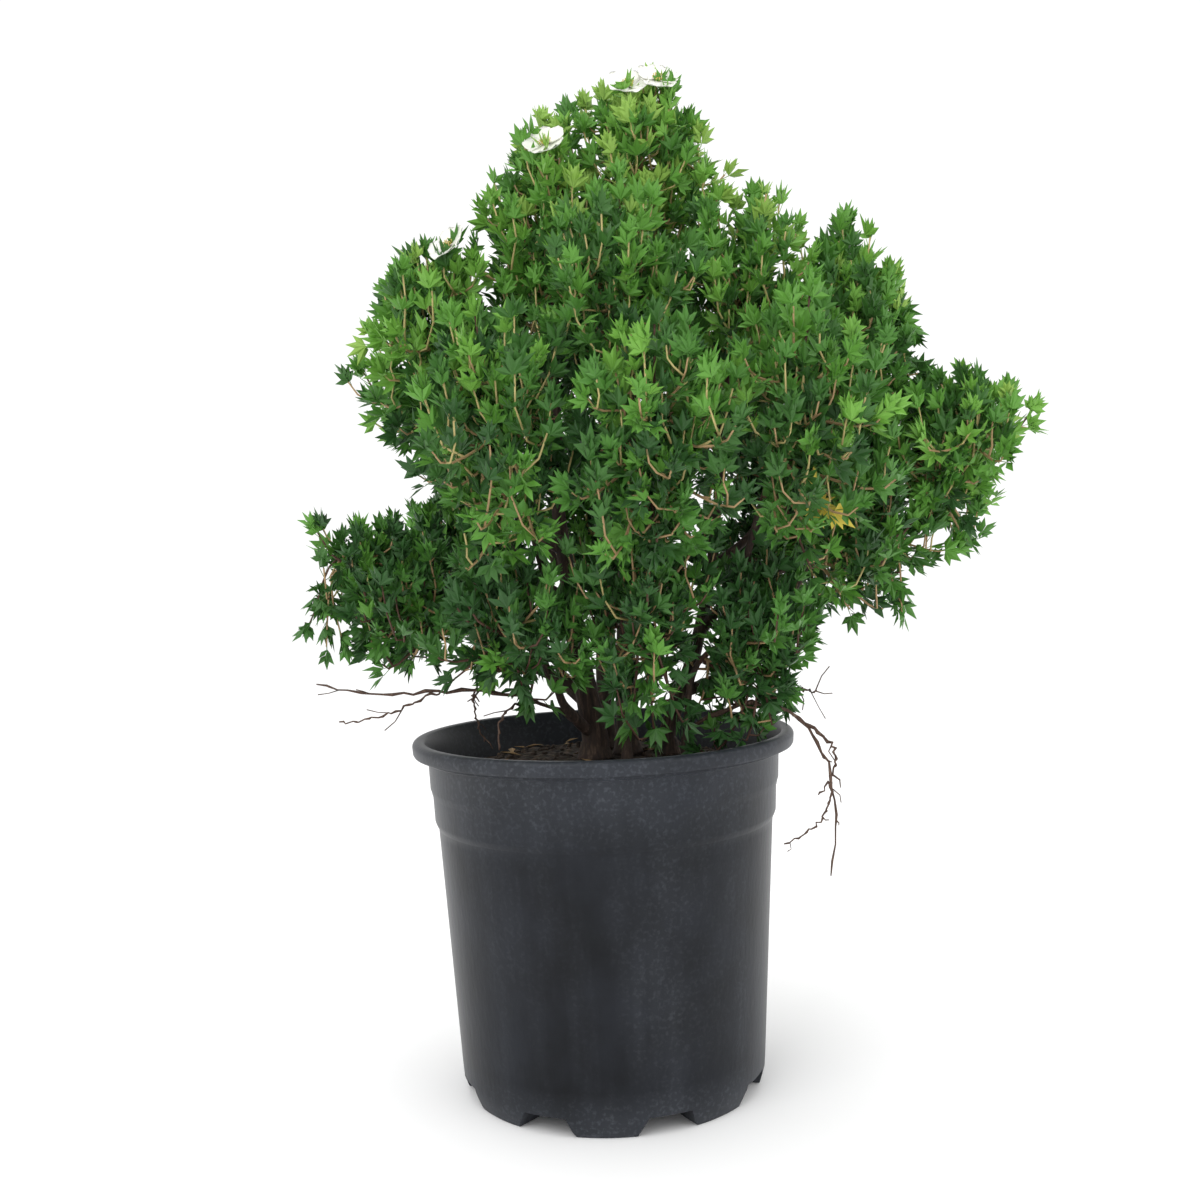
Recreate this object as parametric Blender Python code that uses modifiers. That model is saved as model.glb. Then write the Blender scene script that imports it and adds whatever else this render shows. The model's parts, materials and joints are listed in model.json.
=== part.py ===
"""A shrubby cinquefoil, in leaf and in flower, growing in a black plastic nursery pot.

Metres, +Z up. The origin is the middle of the pot's flat underside, and the front of the plant
faces -Y. Stems rise from the soil, each forks into boughs, and each bough ends in a mass of shoots
and leaves. A mass keeps to its own space, and one growing rule with a seed for each mass makes them
all. A leaf here is a fan of three lobes that stands for a small spray of real leaves.
"""

import math
import random
from collections import namedtuple

import bmesh
import bpy
import numpy as np
from mathutils import Quaternion, Vector

CLEAR = 0.0003  # between neighbouring solids
UP = Vector((0.0, 0.0, 1.0))
GOLDEN_ANGLE = math.radians(137.508)

# Pot
RIM_RADIUS = 0.115
POT_HEIGHT = 0.2114
POT_WALL = 0.0022
BEAD_HEIGHT = 0.0085
BEAD_ROUND = 0.0032
LIP_RADIUS = 0.1075
RING_RADIUS = 0.1093
RING_TOP_DROP = 0.0008  # below the bead's foot
RING_FOOT_DROP = 0.0022
BAND_TOP_DROP = 0.0034
BEAD_UNDERCUT = 0.0010
BEAD_TURNS = (90, 50, 10)  # degrees round the bead, from its top outwards
LIP_INNER_DROP = 0.0018  # below the pot's top
LIP_TOP_DROP = 0.0004
LIP_ROUND = 0.0012
BAND_1_RADIUS = 0.1058
BAND_2_RADIUS = 0.1037
BAND_TAPER = 0.0008
BAND_1_FOOT = 0.1815
BAND_2_FOOT = 0.1620
BAND_STEP = 0.0030
WALL_TOP_RADIUS = 0.1010
WALL_FOOT_RADIUS = 0.0921
WALL_FOOT = 0.0130
FOOT_RADIUS = 0.0889
FOOT_ROUND = 0.0016
FOOT_ROUND_HEIGHT = 0.0045
POT_FLOOR = 0.0130
POT_SIDES = 36
NOTCHES = 8
NOTCH_FIRST = math.radians(-90 + 19.3)
NOTCH_HEIGHT = 0.0107
NOTCH_HALF_TOP = math.radians(7.9)
NOTCH_HALF_FOOT = math.radians(11.6)
NOTCH_INNER_RADIUS = 0.066
NOTCH_BELOW = -0.004

# Soil
SOIL_TOP = 0.1965
SOIL_PLATEAU_RADIUS = 0.060
SOIL_EDGE_TOP = 0.1850
SOIL_SLOPE = 0.012
SOIL_SLOPE_RISE = 0.002

# Limbs
LIMB_POINTS = 6
LIMB_TAPER = 1.9
LIMB_WOBBLE = 0.012
LIMB_PULL = 0.38  # shares of a limb's reach
LIMB_LEAD = 0.33
STEM_RISE = 0.06
STEM_STEEPNESS = 0.05
FORK_OUTWARD = 0.82
FORK_ALONG = 0.57
FORK_SHARE = 0.85
ENTRY_LIFT = 0.6
ENTRY_STEP = 0.002
FLARE_MIDDLE = (0.4, 0.3)  # shares of the flare's height and of its extra width
FLARE = 1.45
FLARE_HEIGHT = 0.016
BOUGH_START_RADIUS = 0.0036
BOUGH_TIP_RADIUS = 0.0019
ENTRY_DEPTH = 0.72
ENTRY_MARGIN = 0.008

DEAD_POINTS = 5
DEAD_RADIUS = 0.0015
DEAD_TIP_RADIUS = 0.0008
DEAD_TAPER = 0.8
DEAD_SIDE_SHARE = 0.62  # of the parent's radius where a side twig leaves it

MERGE_DISTANCES = (0.0004, 0.0003, 0.0002, 0.0001)

# Shoots and leaves
CROWN_MIDDLE = (0.02, 0.0, 0.33)
CANDIDATES = 8
INWARD_LIMIT = -0.35
TWIG_SIDES = 3
SHOOT_POINTS = 3
LEADER_STRAIGHT = 0.006
LEADER_RADIUS = 0.0030
LEADER_TIP_RADIUS = 0.0014
SHOOT_LOWEST = 0.25
SHOOT_HIGHEST = 0.85
SHOOT_SHARE = 0.46  # of the leader's radius where the shoot leaves it
SHOOT_TIP_RADIUS = 0.0009
TIP_LIFT = 0.8
SHOOT_BEND = 0.30
SHOOT_OUTWARD = 0.8
SHOOT_ALONG = 0.6
SPACE_MARGIN = 0.0013
LIMB_MARGIN = 0.0012
POT_MARGIN = 0.003
LEAF_LENGTH = 0.049
LEAF_WIDTH = 0.95
LEAF_FOLD = 0.40
LEAF_THICKNESS = 0.0014
LEAF_BEYOND = 0.92
LEAF_SPACING = 0.006
LEAF_FROM_TIP = 0.0015
LEAF_BARE = 0.15
LEAF_APART = 0.0022
TWIG_APART = 0.0034
TWIG_SAMPLES = (0.0, 0.2, 0.4, 0.6, 0.8)
LEAF_OPEN_ANGLE = math.radians(62)
LEAF_TIP_ANGLE = math.radians(26)
LEAF_TWIST = math.radians(42)
LEAF_SIZES = (0.86, 1.06)
ROOT_SINK = 0.8  # shares of the twig's radius
ROOT_SINK_MOST = 1.15
LEADER_TIP_SHARE = 0.7
LOBES = ((0.0, 0.0), (0.48, 0.62), (0.20, 0.60), (0.0, 1.0), (-0.20, 0.60), (-0.48, 0.62))
RIDGE = 0.34
REACH_PAST = 1.10
PETALS = 5
PETAL_GAP_SHARE = 0.72  # of the flower's radius, between two petals
FLOWER_FACING = Vector((0.0, -0.5, 0.3))
FLOWER_RADIUS = 0.0135
FLOWER_THICKNESS = 0.0022

Stem = namedtuple("Stem", "name foot lean radius tip_radius mass")
STEMS = (
    Stem("stem_left", (-0.005, -0.008), (-0.010, 0.000), 0.0078, 0.0030, "top_left"),
    Stem("stem_middle", (0.015, 0.006), (0.000, 0.002), 0.0068, 0.0028, "top_spire"),
    Stem("stem_back", (0.002, 0.034), (0.000, 0.020), 0.0062, 0.0026, "top_back"),
    Stem("stem_right", (0.040, -0.004), (0.022, -0.006), 0.0050, 0.0024, "upper_right"),
    Stem("stem_front", (0.014, -0.026), (0.000, -0.010), 0.0027, 0.0018, "low_middle"),
    Stem("stem_low_right", (0.048, -0.034), (0.010, -0.006), 0.0024, 0.0017, "low_right"),
)

# Masses of leaves. Centre, radii and tip are in millimetres.
Mass = namedtuple("Mass", "name carrier fork centre radii tip flowers seed")
MASS_TABLE = (
    ("top_spire", None, 0, (36, 4, 540), (62, 54, 74), (38, 4, 616), 2, 11),
    ("top_left", None, 0, (-24, -6, 498), (54, 56, 82), (-6, -6, 590), 1, 12),
    ("top_back", None, 0, (12, 74, 472), (62, 54, 78), (10, 80, 560), 0, 13),
    ("top_front", "stem_middle", 0.62, (16, -70, 452), (60, 50, 74), (20, -76, 535), 0, 14),
    ("upper_left", "stem_left", 0.62, (-90, -12, 450), (58, 56, 64), (-104, -12, 514), 1, 15),
    ("upper_left_back", "stem_back", 0.52, (-66, 80, 412), (62, 58, 74), (-80, 88, 488), 0, 16),
    ("upper_right", None, 0, (86, -16, 466), (60, 58, 74), (100, -14, 534), 0, 17),
    ("right_shoulder", "stem_right", 0.62, (158, 6, 440), (56, 58, 80), (158, 6, 524), 0, 18),
    ("upper_right_back", "stem_back", 0.60, (98, 92, 418), (64, 58, 76), (104, 98, 496), 0, 19),
    ("front_middle", "stem_middle", 0.40, (32, -108, 376), (62, 52, 76), (34, -124, 450), 0, 20),
    ("front_left", "stem_left", 0.44, (-50, -86, 388), (60, 54, 74), (-60, -98, 460), 0, 21),
    ("front_right", "stem_right", 0.48, (112, -84, 386), (62, 54, 78), (118, -96, 466), 0, 22),
    ("left_side", "stem_left", 0.52, (-98, 18, 402), (50, 54, 48), (-142, 16, 448), 0, 23),
    ("far_right", "stem_right", 0.54, (210, -4, 378), (56, 56, 50), (270, 0, 408), 0, 24),
    ("low_left", "stem_left", 0.36, (-118, -16, 304), (56, 56, 46), (-168, -16, 350), 0, 25),
    ("right_side", "stem_right", 0.36, (156, -16, 338), (60, 60, 56), (194, -22, 344), 0, 26),
    ("low_middle", None, 0, (28, -74, 300), (58, 48, 54), (26, -112, 312), 0, 27),
    ("low_right", None, 0, (90, -48, 282), (58, 54, 54), (126, -54, 288), 0, 28),
    ("back_middle", "stem_back", 0.36, (14, 140, 350), (74, 56, 76), (12, 170, 416), 0, 29),
    ("back_left", "stem_back", 0.28, (-88, 96, 320), (60, 58, 58), (-126, 112, 362), 0, 30),
    ("back_right", "stem_back", 0.30, (124, 98, 328), (62, 58, 62), (168, 112, 370), 0, 31),
    ("low_front_left", "stem_left", 0.24, (-46, -62, 286), (54, 48, 44), (-74, -86, 306), 0, 32),
)


# Dead twigs. Each leaves its parent, a stem or an earlier twig, at a share of the parent's points.
# Pull, lead and end are in millimetres.
DeadTwig = namedtuple("DeadTwig", "parent share pull lead end")
DEAD_TWIGS = {
    "dead_twigs_left": (
        DeadTwig("stem_left", 0.26, (-58, -42, 262), (-112, -46, 232), (-164, -40, 250)),
        DeadTwig(0, 0.55, (-106, -50, 240), (-130, -54, 226), (-150, -50, 229)),
        DeadTwig(0, 0.20, (-48, -50, 240), (-60, -62, 236), (-58, -66, 212)),
        DeadTwig(0, 0.40, (-78, -34, 246), (-76, -26, 230), (-70, -24, 211)),
    ),
    "dead_twigs_right": (
        DeadTwig("stem_low_right", 0.30, (104, -58, 258), (142, -62, 212), (126, -60, 133)),
        DeadTwig(0, 0.74, (128, -64, 170), (118, -62, 158), (100, -60, 152)),
        DeadTwig(0, 0.34, (112, -36, 238), (118, -28, 236), (126, -30, 234)),
        DeadTwig(0, 0.50, (138, -70, 206), (128, -78, 196), (118, -74, 182)),
    ),
}


def metres(point):
    return tuple(part / 1000 for part in point)


MASSES = [
    Mass(name, carrier, fork, metres(centre), metres(radii), metres(tip), flowers, seed)
    for name, carrier, fork, centre, radii, tip, flowers, seed in MASS_TABLE
]


def new_material(name, colour, roughness):
    material = bpy.data.materials.new(name)
    material.use_nodes = True
    shader = material.node_tree.nodes["Principled BSDF"]
    shader.inputs["Base Color"].default_value = (*colour, 1.0)
    shader.inputs["Roughness"].default_value = roughness
    shader.inputs["Metallic"].default_value = 0.0
    return material


def new_object(name, data, collection, material=None):
    thing = bpy.data.objects.new(name, data)
    collection.objects.link(thing)
    if material:
        data.materials.append(material)
    return thing


def bezier(start, pull, lead, end, share):
    """A point on the cubic curve between start and end, share of the way along."""
    rest = 1 - share
    return (
        start * rest**3
        + pull * 3 * rest**2 * share
        + lead * 3 * rest * share**2
        + end * share**3
    )


def perpendicular(axis):
    """A unit vector square to the axis, the same for the same axis."""
    helper = UP if abs(axis.z) < 0.9 else Vector((1.0, 0.0, 0.0))
    return axis.cross(helper).normalized()


# Pot and soil


def turned(name, profile, collection, material):
    """A solid of revolution about Z. The profile of (radius, height) runs down its outer side."""
    mesh = bpy.data.meshes.new(name)
    edges = [(i, i + 1) for i in range(len(profile) - 1)]
    mesh.from_pydata([(radius, 0.0, height) for radius, height in profile], edges, [])
    thing = new_object(name, mesh, collection, material)
    screw = thing.modifiers.new("Turn", "SCREW")
    screw.steps = POT_SIDES
    screw.render_steps = POT_SIDES
    screw.use_merge_vertices = True
    screw.merge_threshold = 0.0001
    screw.use_smooth_shade = True
    return thing


def outer_profile():
    """The pot's outer side from the top of the bead to the flat underside."""
    bead_middle = RIM_RADIUS - BEAD_ROUND
    bead_top = POT_HEIGHT - BEAD_ROUND
    bead = [
        (
            bead_middle + BEAD_ROUND * math.cos(math.radians(turn)),
            bead_top + BEAD_ROUND * math.sin(math.radians(turn)),
        )
        for turn in BEAD_TURNS
    ]
    bead_foot = POT_HEIGHT - BEAD_HEIGHT
    return bead + [
        (RIM_RADIUS - BEAD_UNDERCUT, bead_foot),
        (RING_RADIUS, bead_foot - RING_TOP_DROP),
        (RING_RADIUS, bead_foot - RING_FOOT_DROP),
        (BAND_1_RADIUS, bead_foot - BAND_TOP_DROP),
        (BAND_1_RADIUS - BAND_TAPER, BAND_1_FOOT),
        (BAND_2_RADIUS, BAND_1_FOOT - BAND_STEP),
        (BAND_2_RADIUS - BAND_TAPER, BAND_2_FOOT),
        (WALL_TOP_RADIUS, BAND_2_FOOT - BAND_STEP),
        (WALL_FOOT_RADIUS, WALL_FOOT),
        (FOOT_RADIUS + FOOT_ROUND, FOOT_ROUND_HEIGHT),
        (FOOT_RADIUS, 0.0),
    ]


def inner_wall(height):
    """The radius of the pot's inner side below the bands, at a height."""
    share = (height - WALL_FOOT) / (BAND_2_FOOT - BAND_STEP - WALL_FOOT)
    return WALL_FOOT_RADIUS + (WALL_TOP_RADIUS - WALL_FOOT_RADIUS) * share - POT_WALL


def make_pot(collection, cutters):
    inner = [
        (0.0, POT_FLOOR),
        (inner_wall(POT_FLOOR), POT_FLOOR),
        (inner_wall(BAND_2_FOOT - BAND_STEP), BAND_2_FOOT - BAND_STEP),
        (BAND_2_RADIUS - BAND_TAPER - POT_WALL, BAND_2_FOOT),
        (BAND_2_RADIUS - POT_WALL, BAND_1_FOOT - BAND_STEP),
        (BAND_1_RADIUS - BAND_TAPER - POT_WALL, BAND_1_FOOT),
        (BAND_1_RADIUS - POT_WALL, POT_HEIGHT - BEAD_HEIGHT),
        (LIP_RADIUS, POT_HEIGHT - LIP_INNER_DROP),
        (LIP_RADIUS + LIP_ROUND, POT_HEIGHT - LIP_TOP_DROP),
    ]
    plastic = new_material("nursery_plastic", (0.022, 0.025, 0.030), 0.45)
    pot = turned("pot", inner + outer_profile() + [(0.0, 0.0)], collection, plastic)
    for number in range(NOTCHES):
        cutter = notch_cutter(number, cutters)
        cut = pot.modifiers.new(cutter.name, "BOOLEAN")
        cut.operation = "DIFFERENCE"
        cut.object = cutter
    return pot


def notch_cutter(number, cutters):
    """A wedge that opens the pot's foot between two feet, narrower at its top."""
    turn = NOTCH_FIRST + number * math.tau / NOTCHES
    mesh = bpy.data.meshes.new(f"notch_{number}")
    shape = bmesh.new()
    bmesh.ops.create_cube(shape, size=1.0)
    slope = (math.tan(NOTCH_HALF_FOOT) - math.tan(NOTCH_HALF_TOP)) / NOTCH_HEIGHT
    for corner in shape.verts:
        along = RIM_RADIUS if corner.co.x > 0 else NOTCH_INNER_RADIUS
        height = NOTCH_HEIGHT if corner.co.z > 0 else NOTCH_BELOW
        half = along * (math.tan(NOTCH_HALF_TOP) + slope * (NOTCH_HEIGHT - height))
        corner.co = (along, math.copysign(half, corner.co.y), height)
    shape.to_mesh(mesh)
    shape.free()
    cutter = new_object(f"notch_{number}", mesh, cutters)
    cutter.rotation_euler.z = turn
    cutter.hide_render = True
    cutter.display_type = "WIRE"
    return cutter


def make_soil(collection):
    bottom = POT_FLOOR + CLEAR
    edge_radius = BAND_1_RADIUS - BAND_TAPER - POT_WALL - CLEAR
    profile = [
        (0.0, SOIL_TOP),
        (SOIL_PLATEAU_RADIUS, SOIL_TOP),
        (edge_radius - SOIL_SLOPE, SOIL_EDGE_TOP + SOIL_SLOPE_RISE),
        (edge_radius, SOIL_EDGE_TOP),
        (edge_radius, BAND_1_FOOT + CLEAR),
        (BAND_2_RADIUS - POT_WALL - CLEAR, BAND_1_FOOT - BAND_STEP),
        (BAND_2_RADIUS - BAND_TAPER - POT_WALL - CLEAR, BAND_2_FOOT + CLEAR),
        (inner_wall(BAND_2_FOOT - BAND_STEP) - CLEAR, BAND_2_FOOT - BAND_STEP),
        (inner_wall(bottom) - CLEAR, bottom),
        (0.0, bottom),
    ]
    return turned("soil", profile, collection, new_material("potting_soil", (0.035, 0.022, 0.014), 0.95))


# Limbs

Limb = namedtuple("Limb", "name points radii")
Twig = namedtuple("Twig", "points radii sides")
CENTRES = np.array([mass.centre for mass in MASSES])
WEIGHTS = np.array([sum(mass.radii) / 3 for mass in MASSES]) ** 2


def depth_in(point, mass):
    """0 at the middle of the mass and 1 on its outer surface."""
    return Vector(
        (point[axis] - mass.centre[axis]) / mass.radii[axis] for axis in range(3)
    ).length


def entry_of(mass, source):
    """Where a limb that comes from source enters the mass, and its heading there."""
    centre = Vector(mass.centre)
    away = (source - centre).normalized()
    entry = centre.copy()
    while depth_in(entry, mass) < ENTRY_DEPTH:
        if space_margins(np.array([entry + away * ENTRY_STEP]), mass)[0] < ENTRY_MARGIN:
            break
        entry += away * ENTRY_STEP
    heading = ((centre - source).normalized() + UP * ENTRY_LIFT).normalized()
    return entry, heading


def limb_path(start, heading, end, end_heading, radii, seed):
    """Points along one crooked limb, and its radius at each."""
    dice = random.Random(seed)
    reach = (end - start).length
    pull = start + heading * reach * LIMB_PULL
    lead = end - end_heading * reach * LIMB_LEAD
    points = []
    widths = []
    for number in range(LIMB_POINTS):
        share = number / (LIMB_POINTS - 1)
        point = bezier(start, pull, lead, end, share)
        if 1 < number < LIMB_POINTS - 2:
            point += Vector(dice.uniform(-1, 1) for _ in range(3)) * LIMB_WOBBLE * reach
        points.append(point)
        widths.append(radii[1] + (radii[0] - radii[1]) * (1 - share) ** LIMB_TAPER)
    return points, widths


def grow_stem(stem):
    """A stem from a flat cut at the soil, with a flared foot, up into the mass that it carries."""
    mass = next(m for m in MASSES if m.name == stem.mass)
    foot = Vector((*stem.foot, SOIL_TOP + CLEAR))
    lean = Vector((*stem.lean, 0.0))
    entry, heading = entry_of(mass, foot + lean + UP * STEM_RISE)
    start = foot + UP * FLARE_HEIGHT
    rise = (UP * STEM_STEEPNESS + lean).normalized()
    width = (stem.radius, stem.tip_radius)
    points, radii = limb_path(start, rise, entry, heading, width, mass.seed)
    flare_middle = foot + UP * FLARE_HEIGHT * FLARE_MIDDLE[0]
    return Limb(
        stem.name,
        [foot, flare_middle] + points,
        [stem.radius * FLARE, stem.radius * (1 + (FLARE - 1) * FLARE_MIDDLE[1])] + radii,
    )


def place_on(limb, share):
    """The point, direction and radius at a share of the limb's points."""
    place = share * (len(limb.points) - 1)
    first = min(int(place), len(limb.points) - 2)
    part = place - first
    point = limb.points[first].lerp(limb.points[first + 1], part)
    direction = (limb.points[first + 1] - limb.points[first]).normalized()
    radius = limb.radii[first] + (limb.radii[first + 1] - limb.radii[first]) * part
    return point, direction, radius


def grow_bough(mass, stems):
    """A bough from the side of its stem, just clear of it, to where it enters its mass."""
    origin, direction, stem_radius = place_on(stems[mass.carrier], mass.fork)
    entry, heading = entry_of(mass, origin)
    outward = entry - origin
    outward -= direction * outward.dot(direction)
    leaving = (outward.normalized() * FORK_OUTWARD + direction * FORK_ALONG).normalized()
    slant = leaving.dot(direction)
    across = math.sqrt(1 - slant**2)
    start_radius = min(BOUGH_START_RADIUS, stem_radius * FORK_SHARE)
    start = origin + leaving * (stem_radius + 2 * CLEAR + start_radius * slant) / across
    radii = (start_radius, BOUGH_TIP_RADIUS)
    points, widths = limb_path(start, leaving, entry, heading, radii, mass.seed)
    return Limb("bough_" + mass.name, points, widths)


def make_limb(limb, collection, material):
    curve = bpy.data.curves.new(limb.name, "CURVE")
    curve.dimensions = "3D"
    curve.bevel_depth = 1.0
    curve.bevel_resolution = 1
    curve.use_fill_caps = True
    spline = curve.splines.new("POLY")
    spline.points.add(len(limb.points) - 1)
    for place, point, radius in zip(spline.points, limb.points, limb.radii):
        place.co = (*point, 1.0)
        place.radius = radius
    spline.use_smooth = True
    return new_object(limb.name, curve, collection, material)


# Shoots, leaves and flowers


def limb_segments(limbs):
    """Starts, ends and radii of every straight piece of every limb."""
    starts = [point for limb in limbs for point in limb.points[:-1]]
    ends = [point for limb in limbs for point in limb.points[1:]]
    radii = [radius for limb in limbs for radius in limb.radii[:-1]]
    return np.array(starts), np.array(ends), np.array(radii)


def limb_gap(points, segments):
    """The least distance from any of the points to the surface of any limb."""
    starts, ends, radii = segments
    lines = ends - starts
    offsets = np.array(points)[:, None, :] - starts[None, :, :]
    shares = np.einsum("psk,sk->ps", offsets, lines) / np.einsum("sk,sk->s", lines, lines)
    nearest = offsets - np.clip(shares, 0, 1)[:, :, None] * lines[None, :, :]
    return float((np.linalg.norm(nearest, axis=2) - radii[None, :]).min())


def space_margins(points, mass):
    """How far each point lies inside the mass's own space: its distance to the nearest shared plane."""
    own = MASSES.index(mass)
    powers = ((points[:, None, :] - CENTRES[None, :, :]) ** 2).sum(axis=2) - WEIGHTS[None, :]
    apart = np.linalg.norm(CENTRES - CENTRES[own], axis=1)
    apart[own] = 1.0
    margins = (powers - powers[:, own : own + 1]) / (2 * apart)
    margins[:, own] = 1.0
    return margins.min(axis=1)


def clear_of_pot(points):
    """Whether the points lie above the soil, and either over the rim or well inside it."""
    away = np.linalg.norm(points[:, :2], axis=1)
    inside = (points[:, 2] > SOIL_TOP + POT_MARGIN) & (away < LIP_RADIUS - POT_MARGIN)
    return bool((inside | (points[:, 2] > POT_HEIGHT + POT_MARGIN)).all())


def fits(points, mass, segments, thickness):
    """Whether all the points keep to the mass's own space and clear of the limbs and the pot."""
    points = np.array(points)
    if space_margins(points, mass).min() < SPACE_MARGIN or not clear_of_pot(points):
        return False
    return limb_gap(points, segments) > LIMB_MARGIN + thickness


def shoot_targets(mass):
    """Points spread evenly over the free surface of the mass, low to high, each with its direction."""
    centre = Vector(mass.centre)
    outward = (centre - Vector(CROWN_MIDDLE)).normalized()
    phase = random.Random(mass.seed).uniform(0, math.tau)
    targets = []
    for number in range(CANDIDATES):
        height = 1 - 2 * (number + 0.5) / CANDIDATES
        around = phase + number * GOLDEN_ANGLE
        ring = math.sqrt(1 - height**2)
        unit = Vector((ring * math.cos(around), ring * math.sin(around), height))
        target = centre + Vector(unit[axis] * mass.radii[axis] for axis in range(3))
        free = space_margins(np.array([target]), mass)[0] > SPACE_MARGIN
        if free and unit.dot(outward) > INWARD_LIMIT:
            targets.append((target, unit))
    return sorted(targets, key=lambda pair: pair[0].z)


def shoot_path(start, heading, target, unit):
    """Points along one shoot, which leaves along heading and ends lifted towards the light."""
    lifted = (unit + UP * TIP_LIFT).normalized()
    reach = (target - start).length
    end = target - lifted * LEAF_LENGTH * LEAF_BEYOND
    pull = start + heading * reach * SHOOT_BEND
    lead = end - lifted * reach * SHOOT_BEND
    return [bezier(start, pull, lead, end, i / (SHOOT_POINTS - 1)) for i in range(SHOOT_POINTS)]


def make_twig(points, start_radius, end_radius):
    """A three-sided twig: its points, the radius at each, and a side vector that doesn't twist."""
    last = len(points) - 1
    side = perpendicular(points[1] - points[0])
    sides = []
    for number in range(last + 1):
        axis = (points[min(number + 1, last)] - points[max(number - 1, 0)]).normalized()
        side = (side - axis * side.dot(axis)).normalized()
        sides.append((axis, side))
    radii = [start_radius + (end_radius - start_radius) * number / last for number in range(last + 1)]
    return Twig(points, radii, sides)


def tube(name, twig, collection):
    """The twig's closed, tapering, three-sided skin."""
    verts = []
    for point, radius, (axis, side) in zip(*twig):
        for k in range(TWIG_SIDES):
            turn = math.tau * k / TWIG_SIDES
            verts.append(point + (side * math.cos(turn) + axis.cross(side) * math.sin(turn)) * radius)
    faces = [tuple(reversed(range(TWIG_SIDES)))]
    rings = len(twig.points)
    for ring in range(rings - 1):
        low = ring * TWIG_SIDES
        for k in range(TWIG_SIDES):
            following = (k + 1) % TWIG_SIDES
            faces.append((low + k, low + following, low + following + TWIG_SIDES, low + k + TWIG_SIDES))
    faces.append(tuple((rings - 1) * TWIG_SIDES + k for k in range(TWIG_SIDES)))
    mesh = bpy.data.meshes.new(name)
    mesh.from_pydata(verts, [], faces)
    return new_object(name, mesh, collection)


def star(name, outline, middle, normal, thickness, collection):
    """A thin plate with a star-like outline, thickest at its middle."""
    count = len(outline)
    verts = list(outline) + [middle + normal * thickness / 2, middle - normal * thickness / 2]
    faces = []
    for k in range(count):
        following = (k + 1) % count
        faces.append((k, following, count))
        faces.append((following, k, count + 1))
    mesh = bpy.data.meshes.new(name)
    mesh.from_pydata(verts, [], faces)
    return new_object(name, mesh, collection)


def leaf_shape(root, along, normal, length):
    """The outline and middle of one three-lobed leaf, its side lobes raised."""
    across = along.cross(normal) * LEAF_WIDTH
    outline = [
        root + (along * y + across * x + normal * abs(x) * LEAF_FOLD) * length for x, y in LOBES
    ]
    return outline, root + along * length * RIDGE


def leaf_samples(outline, middle):
    """Points spread over a leaf beyond its root, so close that little can pass between them."""
    samples = [outline[0].lerp(middle, share) for share in (0.45, 0.7)]
    for k, corner in enumerate(outline[1:], 1):
        samples += [middle.lerp(corner, share) for share in (0.25, 0.5, 0.75, 1.0)]
        if k < len(outline) - 1:
            samples.append(corner.lerp(outline[k + 1], 0.5))
    samples += [outline[0].lerp(outline[k], share) for k in (1, -1) for share in (0.5, 0.75)]
    return np.array(samples)


def leaf_places(twig, spacing):
    """Spots for leaves down one twig from its tip: share, point, axis, side and radius."""
    lengths = [(b - a).length for a, b in zip(twig.points, twig.points[1:])]
    total = sum(lengths)
    places = []
    walked = total - LEAF_FROM_TIP
    while walked > total * LEAF_BARE:
        piece = 0
        left = walked
        while left > lengths[piece]:
            left -= lengths[piece]
            piece += 1
        part = left / lengths[piece]
        point = twig.points[piece].lerp(twig.points[piece + 1], part)
        axis = (twig.points[piece + 1] - twig.points[piece]).normalized()
        side = twig.sides[piece][1]
        side = (side - axis * side.dot(axis)).normalized()
        radius = twig.radii[piece] + (twig.radii[piece + 1] - twig.radii[piece]) * part
        places.append((walked / total, point, axis, side, radius))
        walked -= spacing
    return places


def crosses(samples, own, taken):
    """Whether a leaf comes too near another leaf, or a twig other than its own."""
    for points, owner, apart in taken:
        if owner is own:
            continue
        if np.linalg.norm(samples[:, None, :] - points[None, :, :], axis=2).min() < apart:
            return True
    return False


def grow_leaves(twigs, mass, segments, dice, collection):
    """Leaves out of the flat sides of the twigs, tips first, wherever one fits and crosses nothing."""
    taken = []
    for twig in twigs:
        pairs = list(zip(twig.points, twig.points[1:]))
        steps = [a.lerp(b, share) for a, b in pairs for share in TWIG_SAMPLES]
        taken.append((np.array(steps), twig, TWIG_APART))
    places = [(twig, *place) for twig in twigs for place in leaf_places(twig, LEAF_SPACING)]
    places.sort(key=lambda place: -place[1])
    for number, (twig, share, point, axis, side, radius) in enumerate(places):
        leader_tip = twig is twigs[0] and share > LEADER_TIP_SHARE
        for turn in range(TWIG_SIDES):
            around = math.tau * ((number + turn) % TWIG_SIDES + 0.5) / TWIG_SIDES
            outward = side * math.cos(around) + axis.cross(side) * math.sin(around)
            opening = LEAF_OPEN_ANGLE + (LEAF_TIP_ANGLE - LEAF_OPEN_ANGLE) * share**2
            along = axis * math.cos(opening) + outward * math.sin(opening)
            normal = (axis - along * axis.dot(along)).normalized()
            normal.rotate(Quaternion(along, dice.uniform(-LEAF_TWIST, LEAF_TWIST)))
            sink = radius * min(ROOT_SINK / math.sin(opening), ROOT_SINK_MOST)
            root = point + outward * radius / 2 - along * sink
            outline, middle = leaf_shape(root, along, normal, LEAF_LENGTH * dice.uniform(*LEAF_SIZES))
            samples = leaf_samples(outline, middle)
            if max(depth_in(corner, mass) for corner in outline) > REACH_PAST and not leader_tip:
                continue
            if crosses(samples, twig, taken) or not fits(samples, mass, segments, LEAF_THICKNESS / 2):
                continue
            taken.append((samples, None, LEAF_APART))
            star("leaf", outline, middle, normal, LEAF_THICKNESS, collection)
            break


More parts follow.
